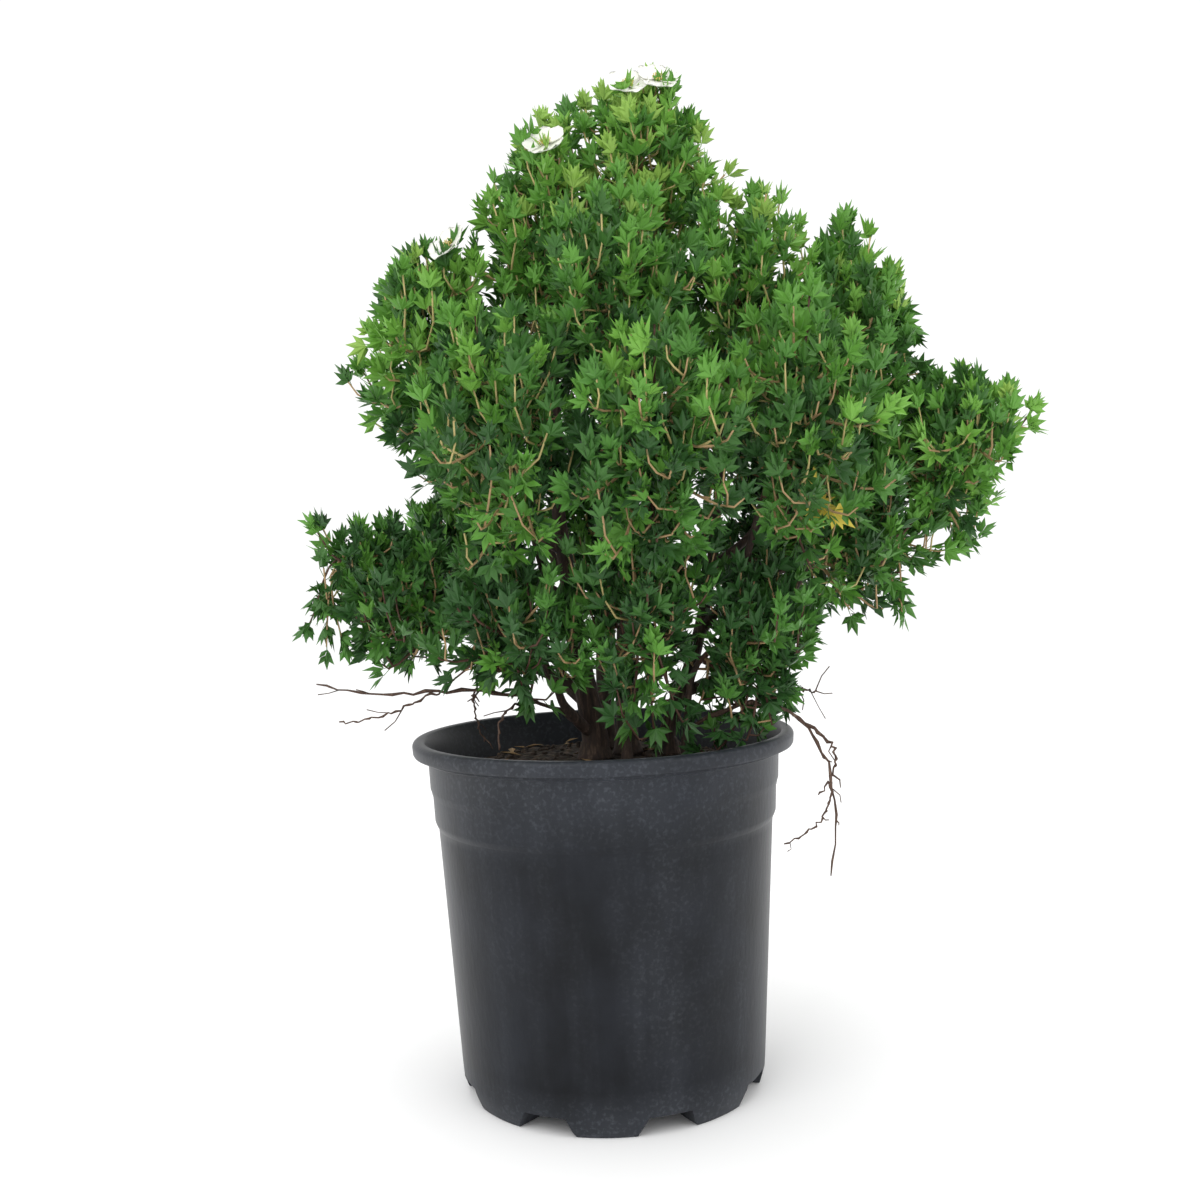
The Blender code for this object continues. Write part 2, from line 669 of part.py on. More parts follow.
def make_flower(tip, axis, collection):
    """Five petals open round the end of a shoot."""
    facing = (axis + FLOWER_FACING).normalized()
    side = perpendicular(facing)
    outline = []
    for k in range(2 * PETALS):
        radius = FLOWER_RADIUS * (1.0 if k % 2 == 0 else PETAL_GAP_SHARE)
        turn = math.pi * k / PETALS
        outline.append(tip + (side * math.cos(turn) + facing.cross(side) * math.sin(turn)) * radius)
    star("flower", outline, tip, facing, FLOWER_THICKNESS, collection)


def grow_dead_twigs(name, stems):
    """The bare twigs of one node. The first starts just clear of its stem."""
    twigs = []
    for dead in DEAD_TWIGS[name]:
        pull, lead, end = (Vector(metres(point)) for point in dead[2:])
        if dead.parent in stems:
            origin, direction, stem_radius = place_on(stems[dead.parent], dead.share)
            leaving = (pull - origin).normalized()
            across = math.sqrt(1 - leaving.dot(direction) ** 2)
            start = origin + leaving * (stem_radius + 2 * CLEAR + DEAD_RADIUS) / across
            radius = DEAD_RADIUS
        else:
            start, _, radius = place_on(twigs[dead.parent], dead.share)
            radius *= DEAD_SIDE_SHARE
        points = [bezier(start, pull, lead, end, i / (DEAD_POINTS - 1)) for i in range(DEAD_POINTS)]
        twigs.append(make_twig(points, radius, min(radius * DEAD_TAPER, DEAD_TIP_RADIUS)))
    return twigs


def make_dead_twigs(name, twigs, collection, material):
    pieces = bpy.data.collections.new("pieces_" + name)
    bpy.context.scene.collection.children.link(pieces)
    tubes = [tube("dead_twig", twig, pieces) for twig in twigs]
    return fuse(name, tubes[0], pieces, collection, material)


def whole_part(points, mass, segments, thickness):
    """The leading points of a shoot that keep to the mass's space and clear of the limbs."""
    for number in range(1, len(points)):
        middle = points[number - 1].lerp(points[number], 0.5)
        if not fits([middle, points[number]], mass, segments, thickness):
            return points[:number]
    return points


def grow_leader(mass, limb, limbs):
    """The mass's own stem, from just beyond the tip of its limb to near its furthest tip."""
    heading = (limb.points[-1] - limb.points[-2]).normalized()
    start = limb.points[-1] + heading * CLEAR
    others = limb_segments([other for other in limbs if other.name != limb.name])
    tip = Vector(mass.tip)
    outward = (tip - Vector(mass.centre)).normalized()
    path = shoot_path(start + heading * LEADER_STRAIGHT, heading, tip, outward)
    points = [start] + whole_part(path, mass, others, LEADER_RADIUS)
    return make_twig(points, LEADER_RADIUS, LEADER_TIP_RADIUS)


def grow_shoots(mass, leader, segments):
    """The shoots that leave the leader for the free surface of the mass, the lowest first."""
    targets = shoot_targets(mass)
    carrier = Limb("leader", leader.points, leader.radii)
    shoots = []
    for number, (target, unit) in enumerate(targets):
        share = SHOOT_LOWEST + (SHOOT_HIGHEST - SHOOT_LOWEST) * number / max(1, len(targets) - 1)
        root, direction, radius = place_on(carrier, share)
        outward = target - root
        outward -= direction * outward.dot(direction)
        leaving = (outward.normalized() * SHOOT_OUTWARD + direction * SHOOT_ALONG).normalized()
        path = whole_part(shoot_path(root, leaving, target, unit), mass, segments, radius)
        if len(path) == SHOOT_POINTS:
            shoots.append(make_twig(path, radius * SHOOT_SHARE, SHOOT_TIP_RADIUS))
    return shoots


def grow_mass(mass, limb, limbs, collection, material):
    """One mass: a leader from the limb's tip, shoots off it, leaves and flowers on them, all fused."""
    pieces = bpy.data.collections.new("pieces_" + mass.name)
    bpy.context.scene.collection.children.link(pieces)
    segments = limb_segments(limbs)
    leader = grow_leader(mass, limb, limbs)
    shoots = grow_shoots(mass, leader, segments)
    trunk = tube("leader", leader, pieces)
    for shoot in shoots:
        tube("shoot", shoot, pieces)
    grow_leaves([leader] + shoots, mass, segments, random.Random(mass.seed), pieces)
    for shoot in ([leader] + shoots)[: mass.flowers]:
        make_flower(shoot.points[-1], shoot.sides[-1][0], pieces)
    return fuse(mass.name, trunk, pieces, collection, material)


def largest_shell(shape):
    """The shell that encloses most space. Others are scraps, or hollows that the union sealed."""
    shells = []
    seen = set()
    for first in shape.faces:
        if first in seen:
            continue
        shell = []
        waiting = [first]
        seen.add(first)
        while waiting:
            face = waiting.pop()
            shell.append(face)
            for edge in face.edges:
                for neighbour in edge.link_faces:
                    if neighbour not in seen:
                        seen.add(neighbour)
                        waiting.append(neighbour)
        cones = [face.calc_center_median().dot(face.normal) * face.calc_area() for face in shell]
        volume = sum(cones) / 3
        shells.append((volume, shell))
    return max(shells, key=lambda pair: pair[0])[1]


def without_slivers(shape):
    """The same shape with its shortest edges closed up, or as it was if that would open it."""
    for shortest in MERGE_DISTANCES:
        merged = shape.copy()
        bmesh.ops.dissolve_degenerate(merged, dist=shortest, edges=merged.edges)
        bmesh.ops.triangulate(merged, faces=merged.faces)
        corners = {frozenset(corner.index for corner in face.verts) for face in merged.faces}
        closed = all(len(edge.link_faces) == 2 for edge in merged.edges)
        if closed and len(corners) == len(merged.faces):
            return merged
        merged.free()
    return shape


def fuse(name, trunk, pieces, collection, material):
    """Joins the pieces into one solid by one Boolean union on their collection."""
    pieces.objects.unlink(trunk)
    bpy.context.scene.collection.objects.link(trunk)
    union = trunk.modifiers.new("Union", "BOOLEAN")
    union.operation = "UNION"
    union.operand_type = "COLLECTION"
    union.collection = pieces
    union.solver = "MANIFOLD"
    bpy.context.view_layer.update()
    graph = bpy.context.evaluated_depsgraph_get()
    mesh = bpy.data.meshes.new_from_object(trunk.evaluated_get(graph))
    mesh.name = name
    mesh.materials.clear()
    shape = bmesh.new()
    shape.from_mesh(mesh)
    bmesh.ops.triangulate(shape, faces=shape.faces)
    keep = set(largest_shell(shape))
    bmesh.ops.delete(shape, geom=[face for face in shape.faces if face not in keep], context="FACES")
    shape = without_slivers(shape)
    bmesh.ops.recalc_face_normals(shape, faces=shape.faces)
    shape.to_mesh(mesh)
    shape.free()
    for piece in list(pieces.objects) + [trunk]:
        bpy.data.objects.remove(piece)
    bpy.data.collections.remove(pieces)
    return new_object(name, mesh, collection, material)


def main():
    for thing in list(bpy.data.objects):
        bpy.data.objects.remove(thing)
    plant = bpy.data.collections.new("potted_cinquefoil")
    cutters = bpy.data.collections.new("cutters")
    bpy.context.scene.collection.children.link(plant)
    bpy.context.scene.collection.children.link(cutters)
    make_pot(plant, cutters)
    make_soil(plant)
    bark = new_material("bark", (0.055, 0.035, 0.026), 0.9)
    stems = {stem.name: grow_stem(stem) for stem in STEMS}
    carriers = {stem.mass: stems[stem.name] for stem in STEMS}
    for mass in MASSES:
        if mass.carrier:
            carriers[mass.name] = grow_bough(mass, stems)
    limbs = list(stems.values()) + [limb for limb in carriers.values() if limb.name not in stems]
    for limb in limbs:
        make_limb(limb, plant, bark)
    for name in DEAD_TWIGS:
        twigs = grow_dead_twigs(name, stems)
        make_dead_twigs(name, twigs, plant, bark)
        limbs += [Limb(name, twig.points, twig.radii) for twig in twigs]
    green = new_material("leaves", (0.085, 0.26, 0.035), 0.6)
    for mass in MASSES:
        grow_mass(mass, carriers[mass.name], limbs, plant, green)


main()
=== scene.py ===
"""Looks for a potted shrubby cinquefoil: a crown of fine leaves, white flowers, and a black nursery pot.

Metres, +Z up, the front towards -Y. Stems and boughs follow the rule, tables and seeds of the
solids. The twigs and leaves on them are finer and more, and stay within the same reach.
"""

import json
import math
import random
from collections import namedtuple

import bmesh
import bpy
import numpy as np
from mathutils import Matrix, Vector

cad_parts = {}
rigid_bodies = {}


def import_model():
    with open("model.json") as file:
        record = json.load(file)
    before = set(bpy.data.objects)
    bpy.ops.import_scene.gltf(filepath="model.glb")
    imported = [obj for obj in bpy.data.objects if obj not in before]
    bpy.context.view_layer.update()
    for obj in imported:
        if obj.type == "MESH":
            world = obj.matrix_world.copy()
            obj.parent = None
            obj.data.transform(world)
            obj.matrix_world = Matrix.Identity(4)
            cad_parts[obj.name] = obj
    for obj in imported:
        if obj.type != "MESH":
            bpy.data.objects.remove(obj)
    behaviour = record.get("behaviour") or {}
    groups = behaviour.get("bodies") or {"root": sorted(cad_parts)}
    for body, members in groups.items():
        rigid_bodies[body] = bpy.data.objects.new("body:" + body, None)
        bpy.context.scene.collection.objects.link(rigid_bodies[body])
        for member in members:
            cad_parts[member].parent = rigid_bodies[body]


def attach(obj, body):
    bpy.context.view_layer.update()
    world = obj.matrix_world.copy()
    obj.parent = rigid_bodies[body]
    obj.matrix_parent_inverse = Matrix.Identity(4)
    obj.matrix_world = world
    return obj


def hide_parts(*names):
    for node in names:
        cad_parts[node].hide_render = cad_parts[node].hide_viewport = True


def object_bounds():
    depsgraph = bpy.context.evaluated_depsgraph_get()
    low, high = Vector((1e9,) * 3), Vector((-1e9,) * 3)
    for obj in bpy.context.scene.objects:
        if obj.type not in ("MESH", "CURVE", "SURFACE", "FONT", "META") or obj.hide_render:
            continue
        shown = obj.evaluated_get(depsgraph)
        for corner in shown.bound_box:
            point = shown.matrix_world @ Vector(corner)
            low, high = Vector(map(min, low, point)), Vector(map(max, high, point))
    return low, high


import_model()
cad_box = [list(corner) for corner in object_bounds()]

UP = Vector((0.0, 0.0, 1.0))
GOLDEN_ANGLE = math.radians(137.508)
CLEAR = 0.0003

# Camera
CAMERA_AT = (0.0, -0.79465, 0.322)
CAMERA_PITCH = math.radians(2.22)
CAMERA_YAW = math.radians(0.09)
CAMERA_ROLL = math.radians(2.06)
CAMERA_LENS = 39.36
CAMERA_SENSOR = 36.0

# Stage. Each light has a name, place, size and power.
FLOOR_CORNERS = ((-6, -4, 0), (6, -4, 0), (6, 8, 0), (-6, 8, 0))
FLOOR_BELOW = 0.0002
FLOOR_COLOUR = (0.97, 0.97, 0.97)
WORLD_STRENGTH = 1.06
LIGHT_AIM = Vector((0.0, 0.0, 0.3))
LIGHTS = (
    ("key", (-1.1, -1.5, 1.9), 1.5, 16.0),
    ("fill", (1.5, -1.2, 1.2), 1.3, 6.0),
    ("top", (0.0, 0.3, 2.4), 1.8, 14.0),
)

# Pot and soil
RIM_RADIUS = 0.115
POT_HEIGHT = 0.2114
POT_WALL = 0.0022
BEAD_HEIGHT = 0.0085
BEAD_ROUND = 0.0032
BEAD_TURNS = range(90, -1, -10)
BEAD_UNDERCUT = 0.0010
LIP_RADIUS = 0.1075
RING_RADIUS = 0.1093
BAND_1_RADIUS = 0.1058
BAND_2_RADIUS = 0.1037
BAND_TAPER = 0.0008
BAND_1_FOOT = 0.1815
BAND_2_FOOT = 0.1620
BAND_STEP = 0.0030
WALL_TOP_RADIUS = 0.1010
WALL_FOOT_RADIUS = 0.0921
WALL_FOOT = 0.0130
FOOT_RADIUS = 0.0889
FOOT_TURN = 0.0085
POT_FLOOR = 0.0130
POT_ROUND = 0.0004
POT_SHARP = math.radians(42)
POT_SIDES = 192
WALL_ROWS = 40
NOTCHES = 8
NOTCH_FIRST = math.radians(-90 + 19.3)
NOTCH_HEIGHT = 0.0107
NOTCH_HALF_TOP = math.radians(7.9)
NOTCH_HALF_FOOT = math.radians(11.6)
NOTCH_INNER_RADIUS = 0.066
NOTCH_BELOW = -0.004
# Shallow dents in the front wall: direction, height, half width, half height and depth
DENTS = (
    (math.radians(-76.0), 0.088, 0.020, 0.040, 0.0012),
    (math.radians(-99.0), 0.105, 0.022, 0.030, 0.0009),
    (math.radians(-66.0), 0.070, 0.010, 0.050, 0.0006),
)
SOIL_TOP = 0.1965
SOIL_PLATEAU_RADIUS = 0.060
SOIL_EDGE_TOP = 0.1850
SOIL_EDGE_RADIUS = BAND_1_RADIUS - BAND_TAPER - POT_WALL
SOIL_SLOPE = 1.3
SOIL_BOTTOM = 0.150
SOIL_RELIEF = 0.0022
# Waves of the soil's rough top: how many times smaller each is, and its radians a metre
SOIL_WAVES = ((1.0, 160.0), (1.6, 390.0), (2.2, 820.0))
SOIL_WAVE_MOST = 1.2
SOIL_RINGS = 44
SOIL_SIDES = 150
CRUMBS = 420
CRUMB_SIZES = (0.0010, 0.0034)
CRUMB_TILT = 0.3
CRUMB_LIFT = 0.15
CRUMB_SPREAD = 0.97
CRUMB_LENGTHS = (-1.0, -0.4, 0.5, 1.0)
CRUMB_WIDTHS = (0.3, 0.6, 0.55, 0.2)
SOIL_SEED = 3
LITTER = 46
LITTER_REACH = 0.088
LITTER_FRONT = (-2.1, -0.7)
LITTER_LENGTHS = (0.010, 0.015)
LITTER_WIDTHS = (0.003, 0.005)
LITTER_CURL = 0.15
LITTER_LIFT = 0.0016

# Limbs
LIMB_POINTS = 6
LIMB_TAPER = 1.9
LIMB_WOBBLE = 0.012
LIMB_PULL = 0.38
LIMB_LEAD = 0.33
STEM_RISE = 0.06
STEM_STEEPNESS = 0.05
FORK_OUTWARD = 0.82
FORK_ALONG = 0.57
FORK_SHARE = 0.85
ENTRY_LIFT = 0.6
ENTRY_STEP = 0.002
ENTRY_DEPTH = 0.72
ENTRY_MARGIN = 0.008
FLARE = 1.45
FLARE_HEIGHT = 0.016
FLARE_MIDDLE = (0.4, 0.3)
BOUGH_START_RADIUS = 0.0036
BOUGH_TIP_RADIUS = 0.0019
LIMB_STEP = 0.0022
LIMB_SIDES = 18
BARK_DEPTH = 0.16
BARK_WAVES = 7
BARK_RIDGES = (2, 7)
BARK_DRIFTS = (20, 160)
BARK_SIZES = (0.4, 1.0)
BARK_MEAN = 0.62

# Shoots. Shares are of the limb that a shoot stands on.
CROWN_MIDDLE = Vector((0.02, 0.0, 0.33))
CANDIDATES = 34
LOW_CANDIDATES = 17
TARGET_REACH = (0.50, 1.06)
INWARD_LIMIT = -0.75
SPACE_SLACK = 0.012
LEADER_RADIUS = 0.0019
LEADER_OVERLAP = 0.002
SHOOT_POINTS = 7
SHOOT_LEAST_POINTS = 3
SHOOT_LOWEST = 0.05
SHOOT_HIGHEST = 0.92
SHOOT_HIGHEST_NUMBER = 40
SHOOT_SCATTER = 0.06
SHOOT_SHARES = (0.03, 0.95)
SHOOT_BEND = 0.30
SHOOT_OUTWARD = 0.8
SHOOT_ALONG = 0.6
SHOOT_RADIUS = 0.0011
SHOOT_THINNER = 0.8
SHOOT_TIP_RADIUS = 0.0005
SHOOT_SHORT = 0.012
TIP_LIFT = 1.9
SIDE_SHARES = (0.30, 0.52, 0.76)
SIDE_POINTS = 4
SIDE_REACH = 0.050
SIDE_REACHES = (0.55, 1.15)
SIDE_OUTWARD = 0.38
SIDE_ALONG = 0.25
SIDE_UPWARD = 0.85
SIDE_LEAVING = 0.6
SIDE_DEPTH = 1.08
SIDE_RADIUS = 0.0009
TWIG_SIDES = 5
POT_MARGIN = 0.003
OUTLINE_MARGINS = (0.0, 0.004, 0.010, 0.016, 0.022, 0.028)

# Leaves. Angles are in degrees.
LEAF_SPACING = 0.0108
LEAF_SPACINGS = (0.8, 1.3)
LEAF_FIRST_TURNS = (0, 9)
TUFT = 3  # leaves at one node
TUFT_SPREAD = 0.0022
LEAF_BARE = 0.20
LEAF_TIP_OPENING = 18
LEAF_OPENING_RATE = 1300  # degrees a metre, down from the tip
LEAF_OPENING_MOST = 76
LEAF_OPENING_SCATTER = 10
LEAF_FACES_UP = 0.35
LEAF_ROLL = 0.6  # radians
LEAF_SIZES = (0.80, 1.12)
LEAF_TIP_SIZE = 0.78
LEAF_TIP_REACH = 0.004
LEAF_TEMPLATES = 14
STALK_SHARES = (0.35, 0.6)
STALK_RISE = 0.0004
STALK_RADII = (0.00028, 0.000224)
LEAFLET_LENGTH = 0.0128
LEAFLET_LENGTHS = (0.92, 1.06)
LEAFLET_SHORTER = 0.13
LEAFLET_WIDTHS = (0.29, 0.37)
LEAFLET_COUNTS = (5, 5, 5, 5, 3, 7)
LEAFLET_ANGLES = {3: (0, 44), 5: (0, 35, 74), 7: (0, 28, 58, 92)}
LEAFLET_SCATTER = 6
LEAFLET_LIFTS = (-4, 30)
LEAFLET_LIFT_STEP = 7
LEAFLET_OUTLINE = ((0.0, 0.0), (0.5, 0.48), (0.0, 1.0), (-0.5, 0.48))
LEAFLET_FOLD = 0.42
LEAFLET_RIDGE = 0.46
LEAFLET_THICKNESS = 0.00024
YELLOW_LEAVES = ((0.118, -0.10, 0.342), (0.009, -0.13, 0.240))
YELLOW_REACH = 0.006
YELLOW_DEPTH = 0.035
OUTLINE_SHARE = 0.75
BOX_MARGIN = 0.002
GROUPS = 5
GROUP_SEED = 100

# How high and how far out the greens change, with painted shade low and inside the crown, and the twigs'
# colours
TONE_REACH = 0.24
TONE_LOW = 0.24
TONE_RISE = 0.36
TONE_SHARE = 0.55
TONE_SCATTER = 0.5
TONE_SPAN = 1.5
TWIG_SCATTER = 0.06
TWIG_BROWN_BELOW = 0.27
TWIG_TAN_BELOW = 0.36

# Flowers
FLOWER_SEED = 7
FLOWER_ROOM = 0.015
FLOWER_SPREAD = 1.2
FLOWER_TO_FRONT = 0.14
FLOWER_UP = 0.13
FLOWER_LIFT = 0.002
PETALS = 5
PETAL_LENGTH = 0.0130
PETAL_HALF_WIDTH = 0.0072
# Rows across a petal from its root: a share of its length and a share of its half width
PETAL_ROWS = ((0.0, 0.10), (0.30, 0.62), (0.62, 0.98), (0.86, 0.80), (1.0, 0.36))
PETAL_STEPS = (-1.0, -0.5, 0.0, 0.5, 1.0)
PETAL_ROUND = 0.06
PETAL_CUP = 0.0030
PETAL_RIPPLE = 0.0006
PETAL_EDGE = 0.0009
PETAL_OVERLAP = 0.0004
PETAL_THICKNESS = 0.0003
STAMENS = 26
STAMEN_REACH = 0.0026
STAMEN_LENGTH = 0.0030
STAMEN_SPREAD = 0.5
STAMEN_BEND = 0.75
STAMEN_RADII = (0.00018, 0.00016, 0.00042)

# Dead twigs
DEAD_RADIUS = 0.0013
DEAD_TIP_RADIUS = 0.0004
DEAD_THINNER = 0.75
DEAD_POINTS = 26
DEAD_KINK = 0.0011
DEAD_KNOT_STEP = 3
DEAD_KNOT = 1.55
DEAD_SIDES = 7
STUBS = 16
STUB_SHARES = (0.25, 0.97)
STUB_LENGTHS = (0.004, 0.022)
STUB_SLANT = 0.7
STUB_BEND = 0.12
STUB_WIDTHS = (0.7, 0.55, 0.8)
STUB_SIDES = 6
STUB_NEAR_POT = (0.6, 0.4)  # how far outward and how short it turns there

Stem = namedtuple("Stem", "name foot lean radius tip_radius mass")
STEMS = (
    Stem("stem_left", (-0.005, -0.008), (-0.010, 0.000), 0.0078, 0.0030, "top_left"),
    Stem("stem_middle", (0.015, 0.006), (0.000, 0.002), 0.0068, 0.0028, "top_spire"),
    Stem("stem_back", (0.002, 0.034), (0.000, 0.020), 0.0062, 0.0026, "top_back"),
    Stem("stem_right", (0.040, -0.004), (0.022, -0.006), 0.0050, 0.0024, "upper_right"),
    Stem("stem_front", (0.014, -0.026), (0.000, -0.010), 0.0027, 0.0018, "low_middle"),
    Stem("stem_low_right", (0.048, -0.034), (0.010, -0.006), 0.0024, 0.0017, "low_right"),
)

# Masses of leaves. Centre, radii and tip are in millimetres.
Mass = namedtuple("Mass", "name carrier fork centre radii tip seed")
MASS_TABLE = (
    ("top_spire", None, 0, (36, 4, 540), (62, 54, 74), (38, 4, 616), 11),
    ("top_left", None, 0, (-24, -6, 498), (54, 56, 82), (-6, -6, 590), 12),
    ("top_back", None, 0, (12, 74, 472), (62, 54, 78), (10, 80, 560), 13),
    ("top_front", "stem_middle", 0.62, (16, -70, 452), (60, 50, 74), (20, -76, 535), 14),
    ("upper_left", "stem_left", 0.62, (-90, -12, 450), (58, 56, 64), (-104, -12, 514), 15),
    ("upper_left_back", "stem_back", 0.52, (-66, 80, 412), (62, 58, 74), (-80, 88, 488), 16),
    ("upper_right", None, 0, (86, -16, 466), (60, 58, 74), (100, -14, 534), 17),
    ("right_shoulder", "stem_right", 0.62, (158, 6, 440), (56, 58, 80), (158, 6, 524), 18),
    ("upper_right_back", "stem_back", 0.60, (98, 92, 418), (64, 58, 76), (104, 98, 496), 19),
    ("front_middle", "stem_middle", 0.40, (32, -108, 376), (62, 52, 76), (34, -124, 450), 20),
    ("front_left", "stem_left", 0.44, (-50, -86, 388), (60, 54, 74), (-60, -98, 460), 21),
    ("front_right", "stem_right", 0.48, (112, -84, 386), (62, 54, 78), (118, -96, 466), 22),
    ("left_side", "stem_left", 0.52, (-98, 18, 402), (50, 54, 48), (-142, 16, 448), 23),
    ("far_right", "stem_right", 0.54, (210, -4, 378), (56, 56, 50), (270, 0, 408), 24),
    ("low_left", "stem_left", 0.36, (-118, -16, 304), (56, 56, 46), (-168, -16, 350), 25),
    ("right_side", "stem_right", 0.36, (156, -16, 338), (60, 60, 56), (194, -22, 344), 26),
    ("low_middle", None, 0, (28, -74, 300), (58, 48, 54), (26, -112, 312), 27),
    ("low_right", None, 0, (90, -48, 282), (58, 54, 54), (126, -54, 288), 28),
    ("back_middle", "stem_back", 0.36, (14, 140, 350), (74, 56, 76), (12, 170, 416), 29),
    ("back_left", "stem_back", 0.28, (-88, 96, 320), (60, 58, 58), (-126, 112, 362), 30),
    ("back_right", "stem_back", 0.30, (124, 98, 328), (62, 58, 62), (168, 112, 370), 31),
    ("low_front_left", "stem_left", 0.24, (-46, -62, 286), (54, 48, 44), (-74, -86, 306), 32),
)

# Masses that are open enough to show the stems behind them
SPARSE = ("low_front_left", "low_middle", "low_right", "left_side")

# The crown's outline as it is seen from the front: height, and how far left and right leaves reach.
OUTLINE = (
    (0.205, -0.030, 0.105), (0.235, -0.060, 0.128), (0.250, -0.155, 0.138), (0.270, -0.180, 0.187),
    (0.300, -0.186, 0.192), (0.322, -0.190, 0.250), (0.346, -0.192, 0.260), (0.360, -0.112, 0.262),
    (0.380, -0.122, 0.268), (0.398, -0.134, 0.290), (0.410, -0.136, 0.284), (0.420, -0.142, 0.238),
    (0.432, -0.152, 0.212), (0.446, -0.158, 0.216), (0.462, -0.142, 0.212), (0.480, -0.128, 0.190),
    (0.505, -0.110, 0.174), (0.522, -0.078, 0.166), (0.537, -0.062, 0.110), (0.560, -0.050, 0.086),
    (0.585, -0.024, 0.070), (0.600, -0.002, 0.060), (0.616, 0.016, 0.052),
)

# Shoots that reach the crown's outline where it stands out, by mass, in millimetres.
OUTLINE_TIPS = {
    "top_spire": ((40, 0, 606), (14, 0, 600), (60, -4, 584), (76, 0, 560), (2, -10, 584)),
    "top_left": ((-14, -8, 582), (-42, -8, 552), (-58, -6, 534), (-30, -16, 560)),
    "upper_left": ((-103, -10, 508), (-118, -8, 488), (-84, -12, 506), (-134, -4, 466)),
    "left_side": ((-152, 14, 442), (-144, 12, 424), (-132, 12, 396)),
    "low_left": ((-186, -16, 340), (-164, -18, 352), (-180, -20, 296), (-172, -24, 273), (-150, -26, 256)),
    "upper_right": ((78, -8, 540), (104, -14, 528), (128, -8, 517)),
    "right_shoulder": ((158, 6, 519), (146, 4, 508), (190, 4, 468), (212, 2, 454), (204, 0, 432)),
    "far_right": (
        (240, -4, 414), (282, 0, 399), (256, -6, 350), (254, -8, 332), (226, -6, 396), (262, 4, 372),
    ),
    "right_side": ((188, -20, 296), (186, -24, 282), (204, -12, 318), (222, -10, 330)),
    "low_right": (
        (138, -48, 262), (126, -52, 240), (100, -56, 232), (76, -58, 224), (50, -54, 216), (112, -30, 244),
    ),
    "low_middle": ((30, -60, 226), (10, -66, 240), (52, -66, 238)),
    "low_front_left": ((-80, -40, 250), (-30, -60, 244), (-104, -40, 262)),
}

# Where the flowers stand, by mass, in millimetres
FLOWERS = {
    "top_spire": ((46, -16, 606), (27, -20, 602)),
    "top_left": ((-20, -34, 566),),
    "upper_left": ((-76, -36, 510),),
}

# Each dead twig leaves its parent, a stem or an earlier twig, at a share of the parent's points.
DeadTwig = namedtuple("DeadTwig", "parent share pull lead end")
DEAD_TWIGS = {
    "dead_twigs_left": (
        DeadTwig("stem_left", 0.26, (-58, -42, 262), (-112, -46, 232), (-164, -40, 250)),
        DeadTwig(0, 0.55, (-106, -50, 240), (-130, -54, 226), (-150, -50, 229)),
        DeadTwig(0, 0.20, (-48, -50, 240), (-60, -62, 236), (-58, -66, 212)),
        DeadTwig(0, 0.40, (-78, -34, 246), (-76, -26, 230), (-70, -24, 211)),
    ),
    "dead_twigs_right": (
        DeadTwig("stem_low_right", 0.30, (104, -58, 258), (142, -62, 212), (126, -60, 133)),
        DeadTwig(0, 0.74, (128, -64, 170), (118, -62, 158), (100, -60, 152)),
        DeadTwig(0, 0.34, (112, -36, 238), (118, -28, 236), (126, -30, 234)),
        DeadTwig(0, 0.50, (138, -70, 206), (128, -78, 196), (118, -74, 182)),
    ),
}


def metres(point):
    return tuple(part / 1000 for part in point)


MASSES = [
    Mass(name, carrier, fork, metres(centre), metres(radii), metres(tip), seed)
    for name, carrier, fork, centre, radii, tip, seed in MASS_TABLE
]
CENTRES = np.array([mass.centre for mass in MASSES])
WEIGHTS = np.array([sum(mass.radii) / 3 for mass in MASSES]) ** 2
Limb = namedtuple("Limb", "name points radii")


# Materials

# Ramps: each stop is a place and a colour.
PLASTIC_STOPS = ((0.35, (0.004, 0.005, 0.007)), (0.70, (0.011, 0.013, 0.018)))
DUST_STOPS = ((0.3, (0.16, 0.18, 0.22)), (0.7, (0.30, 0.32, 0.36)))
SOIL_STOPS = ((0.30, (0.008, 0.006, 0.004)), (0.55, (0.045, 0.030, 0.020)), (0.78, (0.14, 0.10, 0.070)))
OLD_BARK_STOPS = ((0.30, (0.012, 0.008, 0.006)), (0.55, (0.055, 0.034, 0.024)), (0.80, (0.20, 0.135, 0.095)))
DEAD_BARK_STOPS = ((0.30, (0.030, 0.016, 0.011)), (0.55, (0.095, 0.055, 0.038)), (0.80, (0.26, 0.18, 0.13)))
OLD_BARK_SCALE = 420.0
DEAD_BARK_SCALE = 600.0

# Dust on the pot: how much lies in clouds, in streaks, on the bands and at the foot
DUST_CLOUDS = 0.07
DUST_STREAKS = 0.07
DUST_BANDS = 0.15
DUST_FOOT = 0.22
DUST_BAND_HEIGHTS = (0.150, 0.200)
DUST_FOOT_HEIGHTS = (0.026, 0.000)
DUST_GRAIN = 0.55
DUST_ROUGHNESS = 0.7
PLASTIC_ROUGHNESS = 0.34
PLASTIC_SPECULAR = 0.17

# Greens by depth, from the inside and low down to the outer tips. The deeper greens inside and low down are
# painted shade, and the paler ones high and outside are partly painted light.
GREENS = (
    ("green_deep_shade", (0.022, 0.085, 0.014)),
    ("green_dark_shade", (0.038, 0.130, 0.018)),
    ("green_mid", (0.062, 0.195, 0.024)),
    ("green_fresh", (0.098, 0.275, 0.032)),
    ("green_bright", (0.150, 0.360, 0.045)),
    ("green_tip", (0.260, 0.450, 0.075)),
)
YELLOW = ("yellow_leaf", (0.66, 0.54, 0.08))
LEAF_ROUGHNESS = 0.46
LEAF_SPECULAR = 0.35
LEAF_SHEEN = 0.08

# Twigs from young and pale to old and brown
TWIG_TONES = (
    ("young_twig", (0.46, 0.38, 0.15), 0.6),
    ("tan_twig", (0.38, 0.25, 0.12), 0.65),
    ("brown_twig", (0.085, 0.040, 0.024), 0.75),
)


